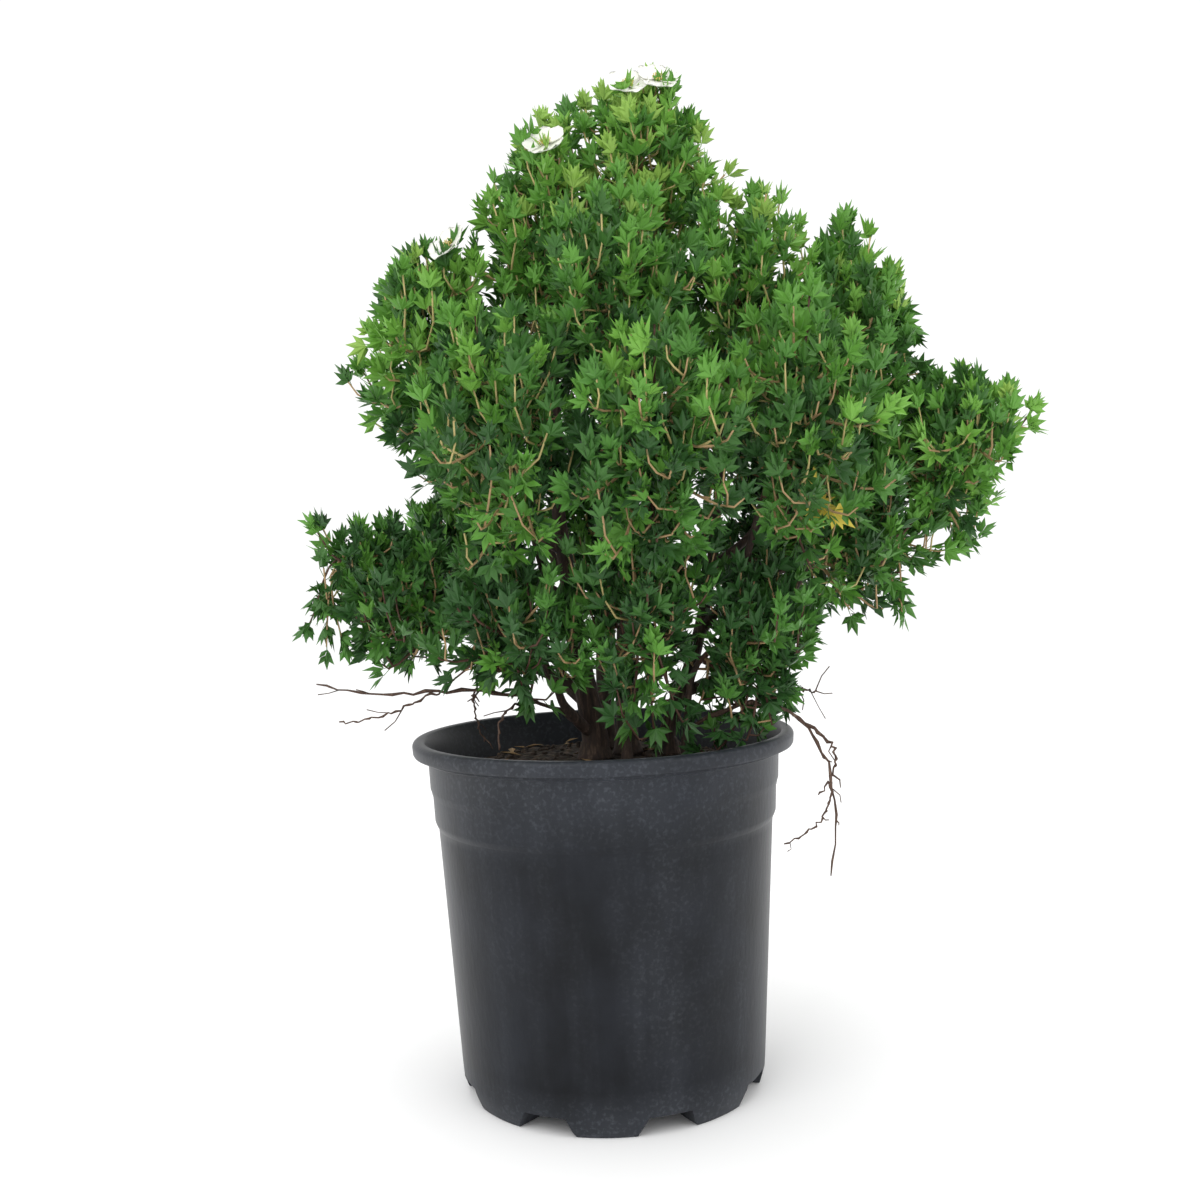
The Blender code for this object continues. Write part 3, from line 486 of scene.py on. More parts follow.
def new_material(name, colour, roughness):
    """A material of one colour, with its node tree and its shader."""
    material = bpy.data.materials.new(name)
    material.use_nodes = True
    shader = material.node_tree.nodes["Principled BSDF"]
    shader.inputs["Base Color"].default_value = (*colour, 1.0)
    shader.inputs["Roughness"].default_value = roughness
    return material, material.node_tree, shader


def plain_material(name, colour, roughness):
    return new_material(name, colour, roughness)[0]


def add_node(tree, kind, sockets=None):
    """A shader node with each of the given sockets linked or set."""
    node = tree.nodes.new(kind)
    for socket, value in (sockets or {}).items():
        if isinstance(value, bpy.types.NodeSocket):
            tree.links.new(value, node.inputs[socket])
        else:
            node.inputs[socket].default_value = value
    return node


def add_noise(tree, scale, stretch=(1.0, 1.0, 1.0), detail=6.0, roughness=0.55):
    """A noise texture in the part's own frame, stretched along its axes."""
    place = add_node(tree, "ShaderNodeTexCoord").outputs["Object"]
    mapping = add_node(tree, "ShaderNodeMapping", {"Vector": place, "Scale": stretch})
    vector = mapping.outputs["Vector"]
    sockets = {"Vector": vector, "Scale": scale, "Detail": detail, "Roughness": roughness}
    return add_node(tree, "ShaderNodeTexNoise", sockets).outputs["Fac"]


def add_ramp(tree, value, stops):
    """A colour ramp over a value. Each stop is (place, colour)."""
    ramp = add_node(tree, "ShaderNodeValToRGB", {"Fac": value})
    while len(ramp.color_ramp.elements) < len(stops):
        ramp.color_ramp.elements.new(0.5)
    for element, (place, colour) in zip(ramp.color_ramp.elements, stops):
        element.position = place
        element.color = (*colour, 1.0)
    return ramp.outputs["Color"]


def add_mask(tree, value, low, high):
    """0 where the value is below low and 1 where it is above high."""
    return add_ramp(tree, value, ((low, (0, 0, 0)), (high, (1, 1, 1))))


def add_mix(tree, share, first, second):
    mix = tree.nodes.new("ShaderNodeMix")
    mix.data_type = "RGBA"
    tree.links.new(share, mix.inputs["Factor"])
    tree.links.new(first, mix.inputs["A"])
    tree.links.new(second, mix.inputs["B"])
    return mix.outputs["Result"]


def add_math(tree, operation, first, second):
    """A math node between a socket and a socket or number."""
    node = add_node(tree, "ShaderNodeMath", {0: first, 1: second})
    node.operation = operation
    node.use_clamp = True
    return node.outputs["Value"]


def add_height(tree, low, high):
    """0 at the low height and 1 at the high one, and even between them."""
    place = add_node(tree, "ShaderNodeTexCoord").outputs["Object"]
    height = add_node(tree, "ShaderNodeSeparateXYZ", {"Vector": place}).outputs["Z"]
    sockets = {"From Min": low, "From Max": high, "Value": height}
    return add_node(tree, "ShaderNodeMapRange", sockets).outputs["Result"]


def add_bump(tree, shader, value, distance, strength):
    sockets = {"Strength": strength, "Distance": distance, "Height": value}
    bump = add_node(tree, "ShaderNodeBump", sockets)
    tree.links.new(bump.outputs["Normal"], shader.inputs["Normal"])


def pot_material():
    """Black plastic with bluish dust in streaks, thickest on the bands and near the foot."""
    material, tree, shader = new_material("scuffed_plastic", PLASTIC_STOPS[1][1], PLASTIC_ROUGHNESS)
    shader.inputs["Specular IOR Level"].default_value = PLASTIC_SPECULAR
    cloud = add_mask(tree, add_noise(tree, scale=14.0, stretch=(1, 1, 0.45)), 0.46, 0.72)
    streak = add_mask(tree, add_noise(tree, scale=60.0, stretch=(1, 1, 0.12)), 0.45, 0.75)
    speck = add_mask(tree, add_noise(tree, scale=420.0), 0.50, 0.68)
    dusty = add_math(tree, "MULTIPLY", cloud, DUST_CLOUDS)
    for cause, amount in (
        (streak, DUST_STREAKS),
        (add_height(tree, *DUST_BAND_HEIGHTS), DUST_BANDS),
        (add_height(tree, *DUST_FOOT_HEIGHTS), DUST_FOOT),
    ):
        dusty = add_math(tree, "ADD", dusty, add_math(tree, "MULTIPLY", cause, amount))
    grain = add_math(tree, "ADD", add_math(tree, "MULTIPLY", speck, DUST_GRAIN), 1 - DUST_GRAIN)
    dusty = add_math(tree, "MULTIPLY", dusty, grain)
    dark = add_ramp(tree, add_noise(tree, scale=22.0), PLASTIC_STOPS)
    dust = add_ramp(tree, add_noise(tree, scale=9.0), DUST_STOPS)
    tree.links.new(add_mix(tree, dusty, dark, dust), shader.inputs["Base Color"])
    matt = add_math(tree, "ADD", add_math(tree, "MULTIPLY", dusty, DUST_ROUGHNESS), PLASTIC_ROUGHNESS)
    tree.links.new(matt, shader.inputs["Roughness"])
    grain = add_noise(tree, scale=260.0, stretch=(1, 1, 0.4))
    add_bump(tree, shader, grain, distance=0.0004, strength=0.35)
    return material


def mottled_material(name, stops, roughness, noise, bump):
    """A rough material whose colour and grain follow one noise. Bump is its distance and strength."""
    material, tree, shader = new_material(name, stops[1][1], roughness)
    value = add_noise(tree, **noise)
    tree.links.new(add_ramp(tree, value, stops), shader.inputs["Base Color"])
    add_bump(tree, shader, value, *bump)
    return material


def bark_material(name, stops, scale):
    """Fibrous bark: fine grain that runs along upright limbs."""
    noise = {"scale": scale, "stretch": (1, 1, 0.16), "detail": 9.0, "roughness": 0.65}
    return mottled_material(name, stops, 0.85, noise, (0.0008, 0.8))


def leaf_material(name, colour):
    material, _, shader = new_material(name, colour, LEAF_ROUGHNESS)
    shader.inputs["Specular IOR Level"].default_value = LEAF_SPECULAR
    shader.inputs["Sheen Weight"].default_value = LEAF_SHEEN
    return material


# Limbs, by the rule of the solids


def curve(start, pull, lead, end, count):
    """Points on the cubic curve from start to end, drawn towards pull and then lead."""
    points = []
    for number in range(count):
        share = number / (count - 1)
        rest = 1 - share
        near = start * rest**3 + pull * 3 * rest**2 * share
        points.append(near + lead * 3 * rest * share**2 + end * share**3)
    return points


def kink(points, first, size, dice):
    """Moves every point that is at least so many from both ends by up to that size."""
    for point in points[first : len(points) - first]:
        point += Vector(dice.uniform(-1, 1) for _ in range(3)) * size


def perpendicular(axis):
    helper = UP if abs(axis.z) < 0.9 else Vector((1.0, 0.0, 0.0))
    return axis.cross(helper).normalized()


def depth_in(point, mass):
    """0 at the middle of the mass and 1 on its outer surface."""
    return Vector((point[axis] - mass.centre[axis]) / mass.radii[axis] for axis in range(3)).length


def tapered(start, end, count):
    return [start + (end - start) * i / (count - 1) for i in range(count)]


def space_margin(point, mass):
    """How far a point lies inside the mass's own space."""
    own = MASSES.index(mass)
    powers = ((np.array(point) - CENTRES) ** 2).sum(axis=1) - WEIGHTS
    apart = np.linalg.norm(CENTRES - CENTRES[own], axis=1)
    apart[own] = 1.0
    margins = (powers - powers[own]) / (2 * apart)
    margins[own] = 1.0
    return margins.min()


def entry_of(mass, source):
    """Where a limb that comes from source enters the mass, and its heading there."""
    centre = Vector(mass.centre)
    away = (source - centre).normalized()
    entry = centre.copy()
    while depth_in(entry, mass) < ENTRY_DEPTH:
        if space_margin(entry + away * ENTRY_STEP, mass) < ENTRY_MARGIN:
            break
        entry += away * ENTRY_STEP
    heading = ((centre - source).normalized() + UP * ENTRY_LIFT).normalized()
    return entry, heading


def limb_path(start, heading, end, end_heading, radii, seed):
    """Points along one crooked limb, and its radius at each."""
    reach = (end - start).length
    pull = start + heading * reach * LIMB_PULL
    lead = end - end_heading * reach * LIMB_LEAD
    points = curve(start, pull, lead, end, LIMB_POINTS)
    kink(points, 2, LIMB_WOBBLE * reach, random.Random(seed))
    rests = [1 - number / (LIMB_POINTS - 1) for number in range(LIMB_POINTS)]
    return points, [radii[1] + (radii[0] - radii[1]) * rest**LIMB_TAPER for rest in rests]


def grow_stem(stem):
    mass = next(m for m in MASSES if m.name == stem.mass)
    foot = Vector((*stem.foot, SOIL_TOP + CLEAR))
    lean = Vector((*stem.lean, 0.0))
    entry, heading = entry_of(mass, foot + lean + UP * STEM_RISE)
    start = foot + UP * FLARE_HEIGHT
    rise = (UP * STEM_STEEPNESS + lean).normalized()
    width = (stem.radius, stem.tip_radius)
    points, radii = limb_path(start, rise, entry, heading, width, mass.seed)
    flare_middle = foot + UP * FLARE_HEIGHT * FLARE_MIDDLE[0]
    return Limb(
        stem.name,
        [foot, flare_middle] + points,
        [stem.radius * FLARE, stem.radius * (1 + (FLARE - 1) * FLARE_MIDDLE[1])] + radii,
    )


def place_on(limb, share):
    """The point, direction and radius at a share of the limb's points."""
    place = share * (len(limb.points) - 1)
    first = min(int(place), len(limb.points) - 2)
    part = place - first
    point = limb.points[first].lerp(limb.points[first + 1], part)
    direction = (limb.points[first + 1] - limb.points[first]).normalized()
    radius = limb.radii[first] + (limb.radii[first + 1] - limb.radii[first]) * part
    return point, direction, radius


def grow_bough(mass, stems):
    """A bough from the middle of its stem, so that the two are one at the fork."""
    origin, direction, stem_radius = place_on(stems[mass.carrier], mass.fork)
    entry, heading = entry_of(mass, origin)
    outward = entry - origin
    outward -= direction * outward.dot(direction)
    leaving = (outward.normalized() * FORK_OUTWARD + direction * FORK_ALONG).normalized()
    slant = leaving.dot(direction)
    across = math.sqrt(1 - slant**2)
    start_radius = min(BOUGH_START_RADIUS, stem_radius * FORK_SHARE)
    start = origin + leaving * (stem_radius + 2 * CLEAR + start_radius * slant) / across
    points, widths = limb_path(start, leaving, entry, heading, (start_radius, BOUGH_TIP_RADIUS), mass.seed)
    return Limb("bough_" + mass.name, [origin] + points, [start_radius] + widths)


# Meshes


def new_object(name, data):
    thing = bpy.data.objects.new(name, data)
    bpy.context.scene.collection.objects.link(thing)
    return thing


def new_piece(name, verts, faces, materials, indices=None, smooth=False):
    mesh = bpy.data.meshes.new(name)
    mesh.from_pydata(verts, [], faces)
    for material in materials:
        mesh.materials.append(material)
    if indices is not None:
        mesh.polygons.foreach_set("material_index", indices)
    mesh.polygons.foreach_set("use_smooth", [smooth] * len(mesh.polygons))
    return new_object(name, mesh)


def declare(piece, slot, *nodes):
    """Sets what the piece rides on and hides the solids it stands for. The slot, what it is made of, is not
    used.
    """
    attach(piece, "root")
    if nodes:
        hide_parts(*nodes)


def on_circle(radius, turn):
    return radius * math.cos(turn), radius * math.sin(turn)


def shifted(faces, first):
    """The faces with the number of every corner moved on by first."""
    return [tuple(first + corner for corner in face) for face in faces]


def smooth_path(points, radii, step):
    """Evenly spaced points on a smooth curve through the given ones, with the radius at each."""
    places = []
    widths = []
    last = len(points) - 1
    for number in range(last):
        before = points[max(number - 1, 0)]
        here = points[number]
        there = points[number + 1]
        after = points[min(number + 2, last)]
        count = max(1, round((there - here).length / step))
        for part in range(count):
            t = part / count
            place = (
                here * 2
                + (there - before) * t
                + (before * 2 - here * 5 + there * 4 - after) * t**2
                + (here * 3 - before - there * 3 + after) * t**3
            ) / 2
            places.append(place)
            widths.append(radii[number] + (radii[number + 1] - radii[number]) * t)
    return places + [points[-1]], widths + [radii[-1]]


def tube(verts, faces, points, radii, sides, relief=None):
    """Adds one closed tube to the lists. Relief gives a share of the radius by turn and length."""
    first = len(verts)
    last = len(points) - 1
    side = perpendicular((points[1] - points[0]).normalized())
    walked = 0.0
    for number, (point, radius) in enumerate(zip(points, radii)):
        axis = (points[min(number + 1, last)] - points[max(number - 1, 0)]).normalized()
        side = (side - axis * side.dot(axis)).normalized()
        across = axis.cross(side)
        if number:
            walked += (point - points[number - 1]).length
        for k in range(sides):
            turn = math.tau * k / sides
            width = radius * (1 + relief(turn, walked)) if relief else radius
            verts.append(point + (side * math.cos(turn) + across * math.sin(turn)) * width)
    faces.append(tuple(first + k for k in reversed(range(sides))))
    for ring in range(last):
        low = first + ring * sides
        for k in range(sides):
            following = (k + 1) % sides
            faces.append((low + k, low + following, low + following + sides, low + k + sides))
    faces.append(tuple(first + last * sides + k for k in range(sides)))


def bark_relief(seed):
    """Ridges of shredding bark that run along the limb and drift round it."""
    dice = random.Random(seed)
    waves = [
        (
            dice.randint(*BARK_RIDGES),
            dice.uniform(*BARK_DRIFTS),
            dice.uniform(0, math.tau),
            dice.uniform(*BARK_SIZES),
        )
        for _ in range(BARK_WAVES)
    ]
    total = sum(size for _, _, _, size in waves)

    def relief(turn, walked):
        value = sum(
            size * abs(math.sin(count * turn / 2 + pitch * walked + phase))
            for count, pitch, phase, size in waves
        )
        return BARK_DEPTH * (value / total - BARK_MEAN)

    return relief


def build_limbs(limbs, material):
    verts, faces = [], []
    for number, limb in enumerate(limbs):
        points, radii = smooth_path(limb.points, limb.radii, LIMB_STEP)
        tube(verts, faces, points, radii, LIMB_SIDES, bark_relief(number))
    piece = new_piece("woody_limbs", verts, faces, [material], smooth=True)
    declare(piece, "bark", *[limb.name for limb in limbs])


# Shoots and leaves


def clear_of_pot(points):
    """Whether all the points lie above the rim, or above the soil and inside the lip."""
    x, y, z = np.array(points).T
    inside = (z > SOIL_TOP + POT_MARGIN) & (np.hypot(x, y) < LIP_RADIUS - POT_MARGIN)
    return (inside | (z > POT_HEIGHT + POT_MARGIN)).all()


def shoot_targets(mass):
    """Points over the mass's surface, low to high, then the outline's own tips."""
    centre = Vector(mass.centre)
    outward = (centre - CROWN_MIDDLE).normalized()
    dice = random.Random(mass.seed)
    phase = dice.uniform(0, math.tau)
    targets = []
    count = LOW_CANDIDATES if mass.name in SPARSE else CANDIDATES
    for number in range(count):
        height = 1 - 2 * (number + 0.5) / count
        around = phase + number * GOLDEN_ANGLE
        ring = math.sqrt(1 - height**2)
        unit = Vector((ring * math.cos(around), ring * math.sin(around), height))
        spread = dice.uniform(*TARGET_REACH)
        target = centre + Vector(unit[axis] * mass.radii[axis] for axis in range(3)) * spread
        if space_margin(target, mass) > -SPACE_SLACK and unit.dot(outward) > INWARD_LIMIT:
            targets.append((target, unit))
    targets.sort(key=lambda pair: pair[0].z)
    for tip in OUTLINE_TIPS.get(mass.name, ()):
        place = Vector(metres(tip))
        targets.append((place, (place - centre).normalized()))
    return targets


def shoot_path(start, heading, target, unit, count=SHOOT_POINTS):
    """A curve that leaves along its heading and turns up towards its tip, a leaflet short of the target."""
    lifted = (unit + UP * TIP_LIFT).normalized()
    reach = (target - start).length
    end = target - lifted * LEAFLET_LENGTH
    pull = start + heading * reach * SHOOT_BEND
    lead = end - lifted * reach * SHOOT_BEND
    return curve(start, pull, lead, end, count)


def in_outline(points, margin=0.0):
    """Whether each point lies that far within the crown's outline, seen from the front."""
    heights, lefts, rights = np.array(OUTLINE).T
    x, y, z = np.array(points).T
    nearer = CAMERA_AT[1] / (CAMERA_AT[1] - y)
    across = x * nearer
    height = CAMERA_AT[2] + (z - CAMERA_AT[2]) * nearer
    left, right = (np.interp(height, heights, sides) for sides in (lefts, rights))
    top_left, top_right = (np.interp(height + margin, heights, sides) for sides in (lefts, rights))
    return (across > left + margin) & (across < right - margin) & (top_right - top_left > 2 * margin)


def stretch_inside(points, margin):
    """The twig's points from its root to where it first leaves the crown's outline."""
    inside = in_outline(points, margin)
    return points if inside.all() else points[: int(np.argmin(inside))]


def grow_shoot(leader, number, target, unit, flowering, dice):
    """One shoot off the leader, or None where it has no room, and how far inside the outline it ends."""
    share = SHOOT_LOWEST + (SHOOT_HIGHEST - SHOOT_LOWEST) * min(1.0, number / SHOOT_HIGHEST_NUMBER)
    share = min(SHOOT_SHARES[1], max(SHOOT_SHARES[0], share + dice.uniform(-SHOOT_SCATTER, SHOOT_SCATTER)))
    root, direction, radius = place_on(leader, share)
    away = target - root
    if away.length < SHOOT_SHORT:
        return None, 0.0
    away -= direction * away.dot(direction)
    leaving = (away.normalized() * SHOOT_OUTWARD + direction * SHOOT_ALONG).normalized()
    points = shoot_path(root, leaving, target, unit)
    margin = dice.choice(OUTLINE_MARGINS)
    if not flowering:
        points = stretch_inside(points, margin)
    if len(points) < SHOOT_LEAST_POINTS or not clear_of_pot(points):
        return None, margin
    width = min(SHOOT_RADIUS, radius * SHOOT_THINNER)
    return Limb("shoot", points, tapered(width, SHOOT_TIP_RADIUS, len(points))), margin


def grow_side_shoots(shoot, number, margin, mass, dice):
    """The side shoots off one shoot, spread round it and mostly upright."""
    side_shoots = []
    for k, share in enumerate(SIDE_SHARES):
        base, along, radius = place_on(shoot, share)
        sideways = perpendicular(along)
        sideways.rotate(Matrix.Rotation(GOLDEN_ANGLE * (k + number), 3, along))
        reach = SIDE_REACH * dice.uniform(*SIDE_REACHES)
        end = base + (sideways * SIDE_OUTWARD + along * SIDE_ALONG + UP * SIDE_UPWARD).normalized() * reach
        leaving = (sideways + along * SIDE_LEAVING).normalized()
        points = stretch_inside(shoot_path(base, leaving, end, along, SIDE_POINTS), margin)
        if len(points) < 2 or not clear_of_pot(points):
            continue
        if space_margin(end, mass) < -SPACE_SLACK or depth_in(end, mass) > SIDE_DEPTH:
            continue
        radii = tapered(min(SIDE_RADIUS, radius), SHOOT_TIP_RADIUS, len(points))
        side_shoots.append(Limb("side", points, radii))
    return side_shoots


def grow_mass(mass, limb, dice):
    """All twigs of one mass, and each of its flowers as a shoot and the flower's place."""
    centre = Vector(mass.centre)
    tip = Vector(mass.tip)
    heading = (limb.points[-1] - limb.points[-2]).normalized()
    path = shoot_path(limb.points[-1] - heading * LEADER_OVERLAP, heading, tip, (tip - centre).normalized())
    leader = Limb("leader", path, tapered(LEADER_RADIUS, SHOOT_TIP_RADIUS, len(path)))
    twigs = [leader]
    flowers = []
    targets = shoot_targets(mass)
    leafy = len(targets)
    places = [Vector(metres(place)) for place in FLOWERS.get(mass.name, ())]
    targets += [(place, (place - centre).normalized()) for place in places]
    for number, (target, unit) in enumerate(targets):
        flowering = number >= leafy
        shoot, margin = grow_shoot(leader, number, target, unit, flowering, dice)
        if not shoot:
            continue
        twigs.append(shoot)
        if flowering:
            flowers.append((shoot, target))
        else:
            twigs += grow_side_shoots(shoot, number, margin, mass, dice)
    return twigs, flowers


def leaflet_template(length, width, turn, lift, root):
    """One folded, pointed leaflet as a closed shape, its root at the end of the leaf's stalk."""
    verts = [Vector((x * width, y * length, abs(x) * width * LEAFLET_FOLD)) for x, y in LEAFLET_OUTLINE]
    half = LEAFLET_THICKNESS / 2
    verts += [Vector((0.0, LEAFLET_RIDGE * length, height)) for height in (half, -half)]
    spin = Matrix.Rotation(-turn, 3, "Z") @ Matrix.Rotation(lift, 3, "X")
    verts = [root + spin @ vert for vert in verts]
    upper = [(k, (k + 1) % 4, 4) for k in range(4)]
    lower = [((k + 1) % 4, k, 5) for k in range(4)]
    return verts, upper + lower


def leaf_template(dice):
    """A whole leaf of narrow leaflets in a fan, on a thin stalk. Y is along the leaf, Z its upper side."""
    stalk = Vector((0, LEAFLET_LENGTH * dice.uniform(*STALK_SHARES), STALK_RISE))
    verts, faces = [], []
    tube(verts, faces, [Vector((0, 0, 0)), stalk], STALK_RADII, 3)
    for rank, angle in enumerate(LEAFLET_ANGLES[dice.choice(LEAFLET_COUNTS)]):
        for side in (1, -1) if rank else (1,):
            length = LEAFLET_LENGTH * (1.0 - LEAFLET_SHORTER * rank) * dice.uniform(*LEAFLET_LENGTHS)
            width = LEAFLET_LENGTH * dice.uniform(*LEAFLET_WIDTHS)
            lift = math.radians(dice.uniform(*LEAFLET_LIFTS) + rank * LEAFLET_LIFT_STEP)
            turn = math.radians(side * (angle + dice.uniform(-LEAFLET_SCATTER, LEAFLET_SCATTER)))
            part, part_faces = leaflet_template(length, width, turn, lift, stalk)
            faces += shifted(part_faces, len(verts))
            verts += part
    return np.array(verts), faces


LeafPlace = namedtuple("LeafPlace", "root along normal size tone")


def leaves_on(twig, dice, tone):
    """Leaves round one twig, close and upright at its tip, wider apart and more open lower down."""
    lengths = [(b - a).length for a, b in zip(twig.points, twig.points[1:])]
    total = sum(lengths)
    places = []
    walked = total
    number = dice.randint(*LEAF_FIRST_TURNS)
    while walked > total * LEAF_BARE:
        piece = 0
        left = walked
        while left > lengths[piece] and piece < len(lengths) - 1:
            left -= lengths[piece]
            piece += 1
        point = twig.points[piece].lerp(twig.points[piece + 1], min(1.0, left / lengths[piece]))
        axis = (twig.points[piece + 1] - twig.points[piece]).normalized()
        side = perpendicular(axis)
        side.rotate(Matrix.Rotation(GOLDEN_ANGLE * number, 3, axis))
        from_tip = total - walked
        opening = min(LEAF_OPENING_MOST, LEAF_TIP_OPENING + from_tip * LEAF_OPENING_RATE)
        opening = math.radians(opening + dice.uniform(-LEAF_OPENING_SCATTER, LEAF_OPENING_SCATTER))
        along = axis * math.cos(opening) + side * math.sin(opening)
        facing = axis + UP * LEAF_FACES_UP
        normal = (facing - along * facing.dot(along)).normalized()
        normal.rotate(Matrix.Rotation(dice.uniform(-LEAF_ROLL, LEAF_ROLL), 3, along))
        size = dice.uniform(*LEAF_SIZES) * (LEAF_TIP_SIZE if from_tip < LEAF_TIP_REACH else 1.0)
        places.append(LeafPlace(point, along, normal, size, tone))
        in_tuft = number % TUFT or from_tip < TUFT_SPREAD * 2
        walked -= TUFT_SPREAD if in_tuft else LEAF_SPACING * dice.uniform(*LEAF_SPACINGS)
        number += 1
    return places


def leaf_tone_and_shade(twig, dice):
    """Which green a spray takes: paler high and outside, partly painted light, and deeper low and inside,
    painted shade.
    """
    tip = twig.points[-1]
    out = (tip - CROWN_MIDDLE).length / TONE_REACH
    value = TONE_SHARE * out + TONE_SHARE * (tip.z - TONE_LOW) / TONE_RISE
    value += dice.uniform(-TONE_SCATTER, TONE_SCATTER)
    return int(min(len(GREENS) - 1, max(0, value * len(GREENS) / TONE_SPAN)))


def twig_tone(twig, dice):
    """Which twig colour: brown for leaders and low down, tan for shoots, pale for high side shoots."""
    high = twig.points[-1].z + dice.uniform(-TWIG_SCATTER, TWIG_SCATTER)
    if twig.name == "leader" or high < TWIG_BROWN_BELOW:
        return 2
    return 1 if twig.name == "shoot" or high < TWIG_TAN_BELOW else 0


def is_yellow(root):
    """Whether a leaf grows at the front of the crown where one of the few yellow ones shows."""
    return any(
        math.hypot(root.x - x, root.z - z) < YELLOW_REACH and root.y < y + YELLOW_DEPTH
        for x, y, z in YELLOW_LEAVES
    )


def build_leaves(name, places, materials, nodes, dice):
    """Joins the leaves of several masses into one piece, leaving out any beyond the crown's reach."""
    templates = [leaf_template(dice) for _ in range(LEAF_TEMPLATES)]
    low, high = (np.array(corner) for corner in cad_box)
    all_verts, all_faces, tones = [], [], []
    first = 0
    blooms = [Vector(metres(place)) for group in FLOWERS.values() for place in group]
    for place in places:
        if any((place.root - bloom).length < FLOWER_ROOM for bloom in blooms):
            continue
        verts, faces = templates[dice.randrange(LEAF_TEMPLATES)]
        across = place.along.cross(place.normal)
        axes = np.array((across, place.along, place.normal)) * place.size
        moved = verts @ axes + np.array(place.root)
        if (moved < low - BOX_MARGIN).any() or (moved > high + BOX_MARGIN).any():
            continue
        if not clear_of_pot(moved) or in_outline(moved).mean() < OUTLINE_SHARE:
            continue
        all_verts.append(moved)
        all_faces += shifted(faces, first)
        tones += [len(GREENS) if is_yellow(place.root) else place.tone] * len(faces)
        first += len(verts)
    piece = new_piece(name, np.concatenate(all_verts), all_faces, materials, tones)
    declare(piece, "leaves", *nodes)


def build_crown(carriers):
    """The leafy twigs as one piece and their leaves in a few. Gives each flower's shoot and place."""
    greens = [leaf_material(name, colour) for name, colour in (*GREENS, YELLOW)]
    verts, faces, tones = [], [], []
    flowers = []
    for group in range(GROUPS):
        dice = random.Random(GROUP_SEED + group)
        places, nodes = [], []
        for mass in MASSES[group::GROUPS]:
            twigs, mass_flowers = grow_mass(mass, carriers[mass.name], dice)
            flowers += mass_flowers
            nodes.append(mass.name)
            for twig in twigs:
                tube(verts, faces, twig.points, twig.radii, TWIG_SIDES)
                tones += [twig_tone(twig, dice)] * (len(faces) - len(tones))
                # The spray's green carries painted shade, deeper low and inside the crown.
                places += leaves_on(twig, dice, leaf_tone_and_shade(twig, dice))
        build_leaves(f"leaves_{group + 1}", places, greens, nodes, dice)
    barks = [plain_material(*tone) for tone in TWIG_TONES]
    declare(new_piece("green_twigs", verts, faces, barks, tones, smooth=True), "bark")
    return flowers


# Flowers


def add_petal(verts, faces, centre, facing, out, lift, dice):
    """One cupped petal that points out from the flower's centre, as a thin closed sheet."""
    wide = facing.cross(out)
    first = len(verts)
    for share, width in PETAL_ROWS:
        cup = PETAL_CUP * share**2 + PETAL_RIPPLE * dice.uniform(-1, 1)
        for step in PETAL_STEPS:
            place = centre + out * PETAL_LENGTH * (share - PETAL_ROUND * step**2)
            rise = facing * (cup + PETAL_EDGE * step**2 + lift)
            verts.append(place + wide * step * width * PETAL_HALF_WIDTH + rise)
    count = len(verts) - first
    verts += [place - facing * PETAL_THICKNESS for place in verts[first:]]
    across = len(PETAL_STEPS)
    edges = []
    for row in range(len(PETAL_ROWS) - 1):
        for column in range(across - 1):
            corner = first + row * across + column
            quad = (corner, corner + across, corner + across + 1, corner + 1)
            faces.append(quad)
            faces.append(tuple(corner + count for corner in reversed(quad)))
            edges += zip(quad, quad[1:] + quad[:1])
    inner = {(b, a) for a, b in edges}
    faces += [(b, a, a + count, b + count) for a, b in edges if (a, b) not in inner]


def build_flowers(shoots):
    """Open flowers of round petals round a tuft of stamens, each facing outward from the crown."""
    verts, faces, tones = [], [], []
    dice = random.Random(FLOWER_SEED)
    for shoot, target in shoots:
        outward = (target - CROWN_MIDDLE).x * FLOWER_SPREAD
        facing = Vector((outward, -FLOWER_TO_FRONT, FLOWER_UP)).normalized()
        side = perpendicular(facing)
        across = facing.cross(side)
        start = dice.uniform(0, math.tau)
        centre = shoot.points[-1] + facing * FLOWER_LIFT
        for k in range(PETALS):
            turn = start + math.tau * k / PETALS
            out = side * math.cos(turn) + across * math.sin(turn)
            add_petal(verts, faces, centre, facing, out, PETAL_OVERLAP * (k % 2), dice)
        tones += [0] * (len(faces) - len(tones))
        for k in range(STAMENS):
            reach = STAMEN_REACH * math.sqrt((k + 0.5) / STAMENS)
            turn = GOLDEN_ANGLE * k
            foot = centre + (side * math.cos(turn) + across * math.sin(turn)) * reach
            top = foot + facing * STAMEN_LENGTH + (foot - centre) * STAMEN_SPREAD
            tube(verts, faces, [foot, foot.lerp(top, STAMEN_BEND), top], STAMEN_RADII, TWIG_SIDES)
        tones += [1] * (len(faces) - len(tones))
    petal = plain_material("white_petal", (0.86, 0.86, 0.80), 0.55)
    heart = plain_material("flower_heart", (0.62, 0.48, 0.12), 0.6)
    declare(new_piece("flowers", verts, faces, [petal, heart], tones, smooth=True), "leaves")


# Dead twigs


